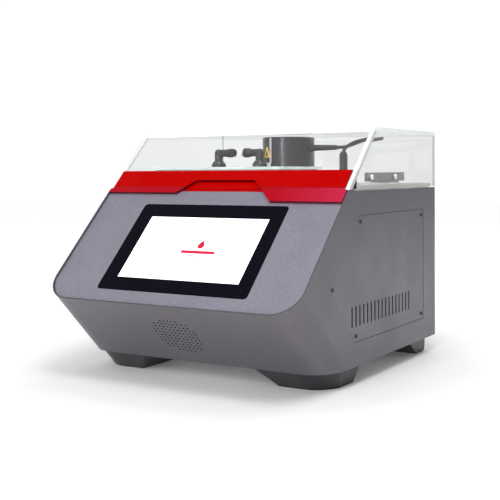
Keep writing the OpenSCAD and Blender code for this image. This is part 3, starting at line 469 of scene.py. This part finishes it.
# Cast acrylic coloured through: saturated and glossy, with painted shade darkening its cut edges
RED_ACRYLIC = Finish(
    "red_acrylic", "a90000", 0.3, ior=1.49, grain_mm=2.0, grain_depth=0.02, shade=0.03,
    specular=0.03, painted_edge_shade="5a0006",
)
# The same with a crimson cast, more polished, with a painted pinkish reflection towards its right
# end and painted shade darkening its cut edges
WING_ACRYLIC = Finish(
    "crimson_acrylic", "a00014", 0.12, ior=1.49, coat=0.1, coat_roughness=0.04, grain_mm=2.0,
    grain_depth=0.02, shade=0.03, specular=0.2, painted_reflection="b02040", painted_reflection_mm=(90.0, 200.0),
    painted_edge_shade="4a0010",
)
# Moulded glass-filled nylon: fine spark-eroded texture, dull black
BLACK_NYLON = Finish(
    "black_nylon", "0f0e12", 0.34, grain_mm=0.7, grain_depth=0.35, shade=0.12, rough_spread=0.08,
)
# Moulded rubber: softer and duller
BLACK_RUBBER = Finish(
    "black_rubber", "1f1e22", 0.42, grain_mm=0.9, grain_depth=0.25, shade=0.1, rough_spread=0.08,
)
# Dark grey moulded feet
FOOT_PLASTIC = Finish(
    "foot_plastic", "353338", 0.38, metallic=0.4, grain_mm=0.8, grain_depth=0.2, shade=0.07,
    rough_spread=0.06, foot_pad="1a191c",
)
WHITE_PLASTIC = Finish(
    "white_abs", "e6e5e2", 0.4, grain_mm=0.8, grain_depth=0.15, shade=0.02, rough_spread=0.05,
)
RIM_PLASTIC = Finish(
    "pale_grey_abs", "b9b6b2", 0.45, grain_mm=0.8, grain_depth=0.2, shade=0.03, rough_spread=0.05,
)
# Brushed stainless sheet: long fine scratches one way
STAINLESS = Finish(
    "brushed_stainless", "c6c6c8", 0.3, metallic=1.0, grain=Grain.BRUSHED_X, grain_mm=0.5,
    grain_depth=0.25, shade=0.08, rough_spread=0.07,
)
BRIGHT_STEEL = Finish(
    "zinc_plated_steel", "d3d1cc", 0.28, metallic=1.0, grain=Grain.ROLLED, grain_mm=0.8,
    grain_depth=0.08, shade=0.05,
)
# Satin nickel on the small domed screws
SATIN_NICKEL = Finish(
    "satin_nickel", "f0efec", 0.35, metallic=0.2, grain_mm=0.5, grain_depth=0.05, shade=0.03,
)
# Anodised aluminium bar: brushed, then dyed grey
GREY_ANODISED = Finish(
    "grey_anodised_aluminium", "8f8e92", 0.38, metallic=0.8, grain=Grain.BRUSHED_Y, grain_mm=0.5,
    grain_depth=0.2, shade=0.06,
)
# Aluminium turned on a lathe, then anodised black: fine rings about its axis
TURNED_BLACK = Finish(
    "turned_black_aluminium", "343236", 0.22, metallic=0.7, grain=Grain.TURNED, grain_mm=0.7,
    grain_depth=0.5, shade=0.12, rough_spread=0.05,
)
CAST_ALUMINIUM = Finish(
    "cast_aluminium", "a2a2a5", 0.5, metallic=0.9, grain_mm=1.0, grain_depth=0.4, shade=0.1,
)
SOLDER_MASK = Finish(
    "solder_mask", "2a6b43", 0.3, grain_mm=3.0, grain_depth=0.3, shade=0.25, coat=0.3,
)
CLEAR_TUBE = Finish(
    "moulded_polypropylene", "dfe8ee", 0.2, grain_mm=2.0, grain_depth=0.02, shade=0.03,
)
BLUE_HOSE = Finish(
    "polyurethane_hose", "2f5f8f", 0.25, grain_mm=2.0, grain_depth=0.02, shade=0.05, coat=0.2,
)
SWITCH_RED = Finish(
    "switch_red", "b0121a", 0.25, grain_mm=0.8, grain_depth=0.1, shade=0.05, coat=0.2,
)
LABEL_YELLOW = Finish(
    "label_yellow", "f2c20a", 0.35, grain_mm=0.8, grain_depth=0.05, shade=0.03, coat=0.2,
)
ICON_RED = Finish(
    "screen_red", "c41a3c", 0.12, grain_mm=0.8, grain_depth=0.0, shade=0.01, glow=0.2,
)
BAR_ALUMINIUM = Finish(
    "bar_aluminium", "747377", 0.42, metallic=0.5, grain=Grain.BRUSHED_Y, grain_mm=0.5,
    grain_depth=0.2, shade=0.06,
)
LABEL_PAPER = Finish(
    "label_paper", "b9b7b8", 0.4, grain_mm=0.8, grain_depth=0.05, shade=0.03, coat=0.2,
)
ICON_GREY = Finish(
    "screen_grey", "a06a78", 0.12, grain_mm=0.8, grain_depth=0.0, shade=0.01, glow=0.15,
)

# The side panes' sloping edges are lit through and through, shown as a frosted edge with a painted
# glint and a painted glow; the others are polished and glued, and their listed edges get the same
# painted glint and glow
CLEAR_SIDE = Acrylic(
    "clear_acrylic_side", "fcfdfd", "f4f4f5", ((OUT_OF_SLOPE, 0.7),), painted_edge_glow=0.2,
)
CLEAR_TOP = Acrylic(
    "clear_acrylic_top", "fcfdfd", "f6f7f8",
    ((OUT_OF_SLOPE, 0.85), ((1.0, 0.0, 0.0), 0.6), ((-1.0, 0.0, 0.0), 0.2)), painted_edge_glow=0.3,
)
CLEAR_PANE = Acrylic(
    "clear_acrylic_pane", "fcfdfd", "f6f7f8",
    (((1.0, 0.0, 0.0), 0.2), ((-1.0, 0.0, 0.0), 0.2)), painted_edge_glow=0.3,
)
LID_SHEET = Acrylic(
    "lid_acrylic", "f6fbfa", "dde8e6",
    (
        ((0.0, -1.0, 0.0), 0.6), ((1.0, 0.0, 0.0), 0.6), ((-1.0, 0.0, 0.0), 0.6),
        ((HALF, -HALF, 0.0), 0.6),
    ),
    painted_edge_glow=0.1,
)

NODE_FINISHES: dict[Finish | Acrylic, tuple[str, ...]] = {
    CASING_PAINT: ("casing", "rear_panel", "side_panel_left", "side_panel_right"),
    PANEL_PAINT: ("front_panel",),
    BLACK_GLASS: ("display_bezel",),
    LIT_SCREEN: ("display_screen",),
    RED_ACRYLIC: ("trim_strip", "cover_band"),
    WING_ACRYLIC: ("trim_wing_left", "trim_wing_right"),
    BLACK_NYLON: (
        "elbow_nuts", "elbow_left", "elbow_right", "collet_left", "coolant_ports", "fan_frame",
        "fan_rotor", "power_inlet", "fuse_drawer", "speaker",
    ),
    BLACK_RUBBER: (
        "cable_boot", "motor_cable", "connector_plug", "cover_corner_blocks", "lid_seal",
    ),
    FOOT_PLASTIC: ("front_feet", "rear_feet"),
    WHITE_PLASTIC: ("tank_surround", "tube_carousel", "collet_right"),
    RIM_PLASTIC: ("deck_rim",),
    STAINLESS: ("deck_plate", "tank", "base_plate", "cover_hinge_leaves", "body_hinge_leaves"),
    SATIN_NICKEL: ("cover_bar_screws",),
    BRIGHT_STEEL: (
        "hinge_pins", "motor_shaft", "connector_socket", "fan_guard",
    ),
    GREY_ANODISED: ("cover_bars", "coupling_ring"),
    TURNED_BLACK: ("motor_housing", "casing_screws"),
    CAST_ALUMINIUM: ("transducers", "motor", "power_supply"),
    SOLDER_MASK: ("controller_board", "generator_board"),
    CLEAR_TUBE: ("sample_tubes",),
    BLUE_HOSE: ("coolant_hoses",),
    SWITCH_RED: ("rocker_switch",),
    CLEAR_SIDE: ("cover_left_pane", "cover_right_pane"),
    CLEAR_TOP: ("cover_top_pane",),
    CLEAR_PANE: ("cover_front_pane", "cover_back_pane"),
    LID_SHEET: ("tank_lid",),
}


class Wardrobe:
    """Every finish's material, made once, and the way that it is put on."""

    def __init__(self) -> None:
        """Starts with no materials."""
        self.made: dict[str, bpy.types.Material] = {}

    def material(self, finish: Finish | Acrylic) -> bpy.types.Material:
        """Returns a finish's material, and makes it the first time."""
        if finish.name not in self.made:
            self.made[finish.name] = finish.build()
        return self.made[finish.name]

    def dress(self, piece: bpy.types.Object, finish: Finish | Acrylic) -> None:
        """Puts one finish all over a piece."""
        piece.data.materials.clear()
        piece.data.materials.append(self.material(finish))

    def dress_frame(self) -> None:
        """Dresses every node of the frame."""
        for finish, nodes in NODE_FINISHES.items():
            for node in nodes:
                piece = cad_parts[node]
                for slot in piece.material_slots:
                    slot.material = self.material(finish)
                log.info("%s is dressed in %s", node, finish.name)


def start_clean() -> None:
    """Leaves edit mode and deselects everything."""
    if bpy.context.object and bpy.context.object.mode != "OBJECT":
        bpy.ops.object.mode_set(mode="OBJECT")
    bpy.ops.object.select_all(action="DESELECT")


def settle(piece: bpy.types.Object, name: str) -> bpy.types.Object:
    """Names a piece and puts its place into its mesh."""
    start_clean()
    piece.select_set(True)
    bpy.context.view_layer.objects.active = piece
    bpy.ops.object.transform_apply(location=True, rotation=True, scale=True)
    piece.name = name
    return piece


@dataclass
class Studio:
    """The floor, the lights and the camera."""

    ambient: float = 0.74
    mirrored: float = 0.2
    backdrop: float = 1.08
    through: float = 0.96
    right_share: float = 0.05
    azimuth: float = math.radians(31.432)
    elevation: float = math.radians(1.531)
    roll: float = math.radians(-0.367)
    stand: tuple[float, float, float] = (0.736784, -1.19838, 0.284365)
    focal_share: float = 944.638 / 500
    shift: tuple[float, float] = (-0.01584, -0.10819)
    sensor_mm: float = 36.0

    def build(self) -> None:
        """Makes the whole studio."""
        self.place_camera()
        self.lay_floor()
        self.light_world()
        self.hang_lights()

    def place_camera(self) -> None:
        """Makes the camera, level but for a slight tilt, and uses it."""
        data = bpy.data.cameras.new("camera")
        data.sensor_width = self.sensor_mm
        data.lens = self.focal_share * self.sensor_mm
        data.shift_x, data.shift_y = self.shift
        camera = bpy.data.objects.new("camera", data)
        bpy.context.scene.collection.objects.link(camera)
        camera.location = self.stand
        turn = Matrix.Rotation(self.azimuth, 4, "Z")
        tip = Matrix.Rotation(math.pi / 2 - self.elevation, 4, "X")
        camera.rotation_euler = (turn @ tip @ Matrix.Rotation(self.roll, 4, "Z")).to_euler()
        bpy.context.scene.camera = camera

    def lay_floor(self) -> None:
        """Lays a pale matt floor that glows with painted light, more the farther it lies from the
        middle, which leaves painted shade near the object.
        """
        start_clean()
        bpy.ops.mesh.primitive_plane_add(size=12.0, location=(0.0, 0.0, 0.0))
        floor = bpy.context.object
        floor.name = "floor"
        paper = bpy.data.materials.new("floor_paper")
        paper.use_nodes = True
        shader = paper.node_tree.nodes["Principled BSDF"]
        shader.inputs["Base Color"].default_value = (0.92, 0.92, 0.92, 1.0)
        shader.inputs["Roughness"].default_value = 0.6
        tree = paper.node_tree
        place = add(tree, "ShaderNodeTexCoord").outputs["Object"]
        away = add(tree, "ShaderNodeVectorMath", {0: place}, operation="LENGTH").outputs["Value"]
        # Painted light: the floor's glow grows with distance from the middle, with painted shade
        # near the object
        lit = add(
            tree,
            "ShaderNodeMapRange",
            {"Value": away, "From Min": 0.3, "From Max": 0.85, "To Min": 0.06, "To Max": 0.5},
        ).outputs["Result"]
        tree.links.new(lit, shader.inputs["Emission Color"])
        shader.inputs["Emission Strength"].default_value = 1.0
        floor.data.materials.append(paper)

    def light_world(self) -> None:
        """Surrounds the object with white, which is dimmer in what mirrors it."""
        world = bpy.data.worlds.new("studio")
        bpy.context.scene.world = world
        world.use_nodes = True
        tree = world.node_tree
        tree.nodes.clear()
        path = add(tree, "ShaderNodeLightPath").outputs
        way = add(tree, "ShaderNodeTexCoord").outputs["Generated"]
        right = add(tree, "ShaderNodeSeparateXYZ", {"Vector": way}).outputs["X"]
        dimmed = add(
            tree,
            "ShaderNodeMapRange",
            {"Value": right, "To Min": self.ambient, "To Max": self.ambient * self.right_share},
        ).outputs["Result"]
        strength = dimmed
        for ray, value in (
            ("Is Glossy Ray", self.mirrored),
            ("Is Transmission Ray", self.through),
            ("Is Camera Ray", self.backdrop),
        ):
            ends = {"Value": path[ray], "To Min": strength, "To Max": value}
            strength = add(tree, "ShaderNodeMapRange", ends).outputs["Result"]
        white = (1.0, 1.0, 1.0, 1.0)
        glow = add(tree, "ShaderNodeBackground", {"Color": white, "Strength": strength})
        add(tree, "ShaderNodeOutputWorld", {"Surface": glow.outputs[0]})

    def hang_lights(self) -> None:
        """Hangs four soft boxes around the object, and an upright strip in front."""
        boxes = {
            "key": ((0.9, -1.9, 1.1), (1.4, 1.4), 5.5),
            "fill": ((-1.8, -1.2, 1.1), (1.8, 1.8), 1.5),
            "top": ((0.55, -0.6, 1.9), (0.7, 0.7), 13.0),
            "rim": ((0.3, 1.9, 1.8), (1.8, 1.8), 18.0),
            "strip": ((0.03, -1.7, 0.6), (0.14, 1.3), 12.0),
        }
        for name, (place, (width, height), power) in boxes.items():
            data = bpy.data.lights.new(name, "AREA")
            data.shape = "RECTANGLE"
            data.size, data.size_y = width, height
            data.energy = power
            lamp = bpy.data.objects.new(name, data)
            bpy.context.scene.collection.objects.link(lamp)
            lamp.location = place
            aim = Vector((0.0, 0.0, 0.18)) - Vector(place)
            lamp.rotation_euler = aim.to_track_quat("-Z", "Y").to_euler()


class Workshop:
    """Tools that the small pieces are made with."""

    def __init__(self, wardrobe: Wardrobe) -> None:
        """Keeps the wardrobe that the pieces are dressed from."""
        self.wardrobe = wardrobe

    def mount(
        self, piece: bpy.types.Object, name: str, finish: Finish | Acrylic, body: str
    ) -> bpy.types.Object:
        """Names, dresses and fixes a piece.

        Args:
            piece: The piece, in its place.
            name: Its name.
            finish: What it is made of.
            body: The frame's body that it moves with.

        Returns:
            The same piece.
        """
        settle(piece, name)
        self.wardrobe.dress(piece, finish)
        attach(piece, body)
        return piece

    @staticmethod
    def join(pieces: list[bpy.types.Object]) -> bpy.types.Object:
        """Joins several pieces into the first."""
        start_clean()
        for piece in pieces:
            piece.select_set(True)
        bpy.context.view_layer.objects.active = pieces[0]
        bpy.ops.object.join()
        return bpy.context.object

    @staticmethod
    def block(
        size: tuple[float, float, float],
        at: tuple[float, float, float],
        turn: tuple[float, float, float] = (0.0, 0.0, 0.0),
        round_mm: float = 0.3,
    ) -> bpy.types.Object:
        """Makes a block with rounded edges.

        Args:
            size: Its width, depth and height in millimetres.
            at: Its middle in millimetres.
            turn: Its turn about X, Y and Z in degrees.
            round_mm: The radius of its edges.

        Returns:
            The block.
        """
        start_clean()
        bpy.ops.mesh.primitive_cube_add(
            size=1.0,
            location=[v * MM for v in at],
            rotation=[math.radians(a) for a in turn],
            scale=[v * MM for v in size],
        )
        piece = bpy.context.object
        bpy.ops.object.transform_apply(location=False, rotation=False, scale=True)
        bpy.ops.object.mode_set(mode="EDIT")
        bpy.ops.mesh.select_all(action="SELECT")
        bpy.ops.mesh.bevel(offset=round_mm * MM, segments=3, affect="EDGES")
        bpy.ops.object.mode_set(mode="OBJECT")
        return piece

    @staticmethod
    def prism(
        sides: int,
        radius: float,
        height: float,
        at: tuple[float, float, float],
        turn: tuple[float, float, float] = (0.0, 0.0, 0.0),
        round_mm: float = 0.2,
    ) -> bpy.types.Object:
        """Makes a prism or a disc with rounded rims.

        Args:
            sides: How many sides it has.
            radius: Its outer radius in millimetres.
            height: Its height in millimetres.
            at: Its middle in millimetres.
            turn: Its turn about X, Y and Z in degrees.
            round_mm: The radius of its rims.

        Returns:
            The prism.
        """
        start_clean()
        bpy.ops.mesh.primitive_cylinder_add(
            vertices=sides,
            radius=radius * MM,
            depth=height * MM,
            location=[v * MM for v in at],
            rotation=[math.radians(a) for a in turn],
        )
        piece = bpy.context.object
        bpy.ops.object.mode_set(mode="EDIT")
        bpy.ops.mesh.select_all(action="SELECT")
        bpy.ops.mesh.bevel(offset=round_mm * MM, segments=2, affect="EDGES")
        bpy.ops.object.mode_set(mode="OBJECT")
        bpy.ops.object.shade_smooth_by_angle(angle=math.radians(35))
        return piece


@dataclass
class MotorLead:
    """The motor's lead, from its boot in an arc around and down into the plug."""

    shop: Workshop
    width: float = 5.0
    route: tuple[tuple[float, float, float], ...] = (
        (39, 103, 317), (85, 103, 317), (100, 103, 318), (112, 103, 321), (124, 103, 325),
        (136, 102, 328), (148, 100, 330), (157, 96, 331), (161, 90, 331), (159, 84, 330),
        (152, 80, 329), (142, 79, 327), (132, 79, 325), (122, 80, 322), (114, 81, 318),
        (109, 81, 314), (107, 81, 308),
    )

    def build(self) -> None:
        """Makes the lead in place of the frame's faceted one."""
        start_clean()
        bpy.ops.curve.primitive_nurbs_path_add()
        lead = bpy.context.object
        lead.location = (0.0, 0.0, 0.0)
        data = lead.data
        data.splines.clear()
        spline = data.splines.new("BEZIER")
        spline.bezier_points.add(len(self.route) - 1)
        for point, place in zip(spline.bezier_points, self.route):
            point.co = [v * MM for v in place]
            point.handle_left_type = point.handle_right_type = "AUTO"
        data.bevel_depth = self.width / 2 * MM
        data.bevel_resolution = 6
        data.resolution_u = 8
        data.use_fill_caps = True
        bpy.ops.object.convert(target="MESH")
        lead = bpy.context.object
        bpy.ops.object.shade_smooth()
        self.shop.mount(lead, "motor_lead", BLACK_RUBBER, "body")
        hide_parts("motor_cable")


@dataclass
class MotorLabel:
    """A pale strip and a plain yellow triangle on the motor's housing, with a white stop below."""

    shop: Workshop
    axis: tuple[float, float] = (0.0, 103.0)
    radius: float = 41.0
    azimuth: float = -103.5
    sign_azimuth: float = -114.5
    low: float = 294.0
    high: float = 332.5
    width: float = 4.5
    paper: float = 0.12

    def on_wall(self, azimuth: float, out: float, z: float) -> tuple[float, float, float]:
        """Finds a place out from the housing's wall at an azimuth."""
        angle = math.radians(azimuth)
        reach = self.radius + out
        return (
            self.axis[0] + reach * math.cos(angle),
            self.axis[1] + reach * math.sin(angle),
            z,
        )

    def build(self) -> None:
        """Makes the label's three pieces."""
        self.strip()
        turn = (90.0, 0.0, self.sign_azimuth + 90.0)
        triangle = self.shop.prism(
            3, 8.8, 0.9, self.on_wall(self.sign_azimuth, -0.15, 308.5), turn, 0.15
        )
        triangle.scale.y = 1.4
        self.shop.mount(triangle, "label_triangle", LABEL_YELLOW, "body")
        mark = self.shop.prism(3, 3.6, 0.3, self.on_wall(self.sign_azimuth, 0.3, 307.8), turn, 0.1)
        mark.scale.y = 1.4
        self.shop.mount(mark, "label_mark", BLACK_RUBBER, "body")
        stop = self.shop.block(
            (7.0, 5.0, 6.0),
            self.on_wall(self.azimuth - 3.0, 2.6, 291.2),
            (0.0, 0.0, self.azimuth + 87.0),
            0.6,
        )
        self.shop.mount(stop, "housing_stop", WHITE_PLASTIC, "body")

    def strip(self) -> None:
        """Makes the strip from a thin band of the housing's own round."""
        start_clean()
        bpy.ops.mesh.primitive_cylinder_add(
            vertices=720,
            radius=(self.radius + self.paper) * MM,
            depth=(self.high - self.low) * MM,
            end_fill_type="NOTHING",
            location=(self.axis[0] * MM, self.axis[1] * MM, (self.low + self.high) / 2 * MM),
        )
        band = bpy.context.object
        half = math.degrees(self.width / 2 / self.radius)
        for part in (*band.data.vertices, *band.data.edges):
            part.select = False
        for face in band.data.polygons:
            around = math.degrees(math.atan2(face.center.y, face.center.x))
            face.select = abs(around - self.azimuth) > half
        bpy.context.tool_settings.mesh_select_mode = (False, False, True)
        bpy.ops.object.mode_set(mode="EDIT")
        bpy.ops.mesh.delete(type="FACE")
        bpy.ops.mesh.select_all(action="SELECT")
        bpy.ops.mesh.solidify(thickness=self.paper * 0.9 * MM)
        bpy.ops.object.mode_set(mode="OBJECT")
        bpy.context.tool_settings.mesh_select_mode = (True, False, False)
        self.shop.mount(band, "label_strip", LABEL_PAPER, "body")


@dataclass
class StartScreen:
    """A plain start picture on the lit screen: a red drop over a red bar, and two grey lines."""

    shop: Workshop
    centre: tuple[float, float] = (15.0, 108.0)

    def on_screen(self, across: float, up: float) -> tuple[float, float, float]:
        """Finds a place on the screen, from its middle, just in front of the glass."""
        down = self.centre[1] - up
        out = SCREEN_FACE + 0.12
        return (
            self.centre[0] + across,
            TOP_FRONT[0] - (down + out) * HALF,
            TOP_FRONT[1] - (down - out) * HALF,
        )

    def flat(self, piece: bpy.types.Object) -> bpy.types.Object:
        """Lays a piece made level onto the screen's slope."""
        piece.rotation_euler = (math.radians(SLOPE), 0.0, piece.rotation_euler.z)
        return piece

    def build(self) -> None:
        """Makes the picture."""
        drop = self.shop.prism(48, 5.2, 0.12, self.on_screen(0.0, 8.0), round_mm=0.03)
        tip = self.shop.prism(3, 5.2, 0.12, self.on_screen(0.0, 12.6), round_mm=0.03)
        bar = self.shop.block((54.0, 5.0, 0.12), self.on_screen(0.0, -3.5), round_mm=0.05)
        shape = self.shop.join([self.flat(piece) for piece in (drop, tip, bar)])
        self.shop.mount(shape, "screen_mark", ICON_RED, "body")
        lines = [
            self.flat(self.shop.block((wide, 1.2, 0.12), self.on_screen(0.0, up), round_mm=0.03))
            for wide, up in ((44.0, -9.5), (30.0, -12.5))
        ]
        self.shop.mount(self.shop.join(lines), "screen_lines", ICON_GREY, "body")


@dataclass
class CoverBars:
    """The two stiffening bars inside the cover, a film's thickness off the panes."""

    shop: Workshop
    length: float = 126.0
    height: float = 12.5
    depth: float = 5.5
    middle: tuple[float, float] = (33.0, 274.75)
    wall: float = 193.7
    screws: tuple[float, float] = (-22.0, 58.0)
    # Each cap's two discs: how far out, its radius and its thickness
    discs: tuple[tuple[float, float, float], ...] = ((200.5, 3.5, 1.0), (201.3, 2.7, 1.0))
    # The dark hex disc, painted shade for the socket: how far out, its radius and its thickness
    socket: tuple[float, float, float] = (201.85, 1.2, 0.2)

    def build(self) -> None:
        """Makes both bars in place of the frame's."""
        bars = []
        for side in (-1, 1):
            at = (side * (self.wall - self.depth / 2), *self.middle)
            bars.append(self.shop.block((self.depth, self.length, self.height), at, round_mm=0.8))
        bars = self.shop.join(bars)
        self.shop.mount(bars, "bars", BAR_ALUMINIUM, "cover")
        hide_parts("cover_bars")
        self.cap_screws()

    def cap_screws(self) -> None:
        """Puts a domed cap on each of the bars' screws, outside the panes, with a dark hex disc of
        painted shade for its socket.
        """
        caps, socket_shades = [], []
        turn = (0.0, 90.0, 0.0)
        for side in (-1, 1):
            for y in self.screws:
                for out, radius, height in self.discs:
                    at = (side * out, y, self.middle[1])
                    caps.append(self.shop.prism(32, radius, height, at, turn, round_mm=0.4))
                out, radius, height = self.socket
                at = (side * out, y, self.middle[1])
                socket_shades.append(self.shop.prism(6, radius, height, at, turn, round_mm=0.05))
        self.shop.mount(self.shop.join(caps), "bar_screw_caps", SATIN_NICKEL, "cover")
        self.shop.mount(self.shop.join(socket_shades), "bar_screw_socket_shades", BLACK_RUBBER, "cover")


@dataclass
class SeamShadeStrips:
    """Thin black strips between the casing's wings and the cover's band, painted shade for the
    shadow in the gap.
    """

    shop: Workshop
    along: float = 4.7
    out: float = 0.85
    width: float = 0.5
    height: float = 1.2
    spans: tuple[tuple[float, float], ...] = ((-193.7, -63.0), (65.0, 193.7))

    def build(self) -> None:
        """Makes one strip of painted shade on each side of the notch."""
        shade_strips = []
        for start, end in self.spans:
            at = (
                (start + end) / 2,
                TOP_FRONT[0] + (self.along - self.out) * HALF,
                TOP_FRONT[1] + (self.along + self.out) * HALF,
            )
            size = (end - start, self.width, self.height)
            shade_strips.append(self.shop.block(size, at, (SLOPE, 0.0, 0.0), round_mm=0.1))
        self.shop.mount(self.shop.join(shade_strips), "seam_shade_strips", BLACK_RUBBER, "body")


@dataclass
class RecessShadesAndHingeScrews:
    """Dark crosses of painted shade in the recesses of the casing's screws, and the countersunk
    screws of the hinges.
    """

    shop: Workshop
    hinge_x: float = 112.0
    screw_x: float = 16.0
    leaf_y: float = 215.2
    # Each leaf's screws: their name, the body that they move with and their height
    leaves: tuple[tuple[str, str, float], ...] = (
        ("cover_leaf_screws", "cover", 272.5),
        ("body_leaf_screws", "body", 246.5),
    )
    # The heads' faces lie beyond these planes, in metres, and a head's own faces within its reach
    side_plane: float = 0.2005
    back_plane: float = 0.2135
    reach: float = 8 * MM
    arms: tuple[tuple[float, float, float], ...] = ((2.4, 0.6, 0.12), (0.6, 2.4, 0.12))

    def build(self) -> None:
        """Makes the crosses of painted shade on both sides and on the back, and the hinges' screws.
        """
        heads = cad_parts["casing_screws"]
        crosses = []
        for place, facing in self.heads(heads):
            crosses.extend(self.cross(place, facing))
        self.shop.mount(self.shop.join(crosses), "screw_recess_shades", BLACK_RUBBER, "body")
        turn = (90.0, 0.0, 0.0)
        for name, body, level in self.leaves:
            places = [
                (side * self.hinge_x + x, self.leaf_y, level)
                for side in (-1, 1)
                for x in (-self.screw_x, self.screw_x)
            ]
            screws = [self.shop.prism(24, 2.6, 0.8, place, turn) for place in places]
            self.shop.mount(self.shop.join(screws), name, BRIGHT_STEEL, body)

    def heads(self, piece: bpy.types.Object) -> list[tuple[Vector, Vector]]:
        """Finds the middle of each screw head's outer face and the way that it faces.

        Args:
            piece: The frame's screws.

        Returns:
            Each head's place and direction.
        """
        found: list[list] = []
        for face in piece.data.polygons:
            middle = piece.matrix_world @ face.center
            facing = (piece.matrix_world.to_3x3() @ face.normal).normalized()
            outwards = facing.x * middle.x > 0
            on_side = abs(facing.x) > 0.99 and outwards and abs(middle.x) > self.side_plane
            on_back = facing.y > 0.99 and middle.y > self.back_plane
            if not (on_side or on_back):
                continue
            near = [head for head in found if (head[0] / head[2] - middle).length < self.reach]
            if near:
                near[0][0] = near[0][0] + middle * face.area
                near[0][2] += face.area
            else:
                found.append([middle * face.area, facing, face.area])
        return [(place / area, facing) for place, facing, area in found]

    def cross(self, place: Vector, facing: Vector) -> list[bpy.types.Object]:
        """Makes one dark cross, painted shade for a cross recess.

        Args:
            place: The middle of the head's face.
            facing: The way that the head faces.

        Returns:
            The two arms of the cross.
        """
        turn = (90.0, 0.0, 90.0) if abs(facing.x) > FACING else (90.0, 0.0, 0.0)
        at = tuple(v / MM for v in place)
        return [self.shop.block(size, at, turn, 0.05) for size in self.arms]


def main() -> None:
    """Builds everything in order."""
    logging.basicConfig(level=logging.INFO, format="%(name)s: %(message)s")
    bpy.context.scene.view_settings.view_transform = "Standard"
    Studio().build()
    wardrobe = Wardrobe()
    wardrobe.dress_frame()
    shop = Workshop(wardrobe)
    for group in (MotorLead, MotorLabel, StartScreen, CoverBars, SeamShadeStrips, RecessShadesAndHingeScrews):
        group(shop).build()
        log.info("%s is made", group.__name__)


if __name__ == "__main__":
    main()
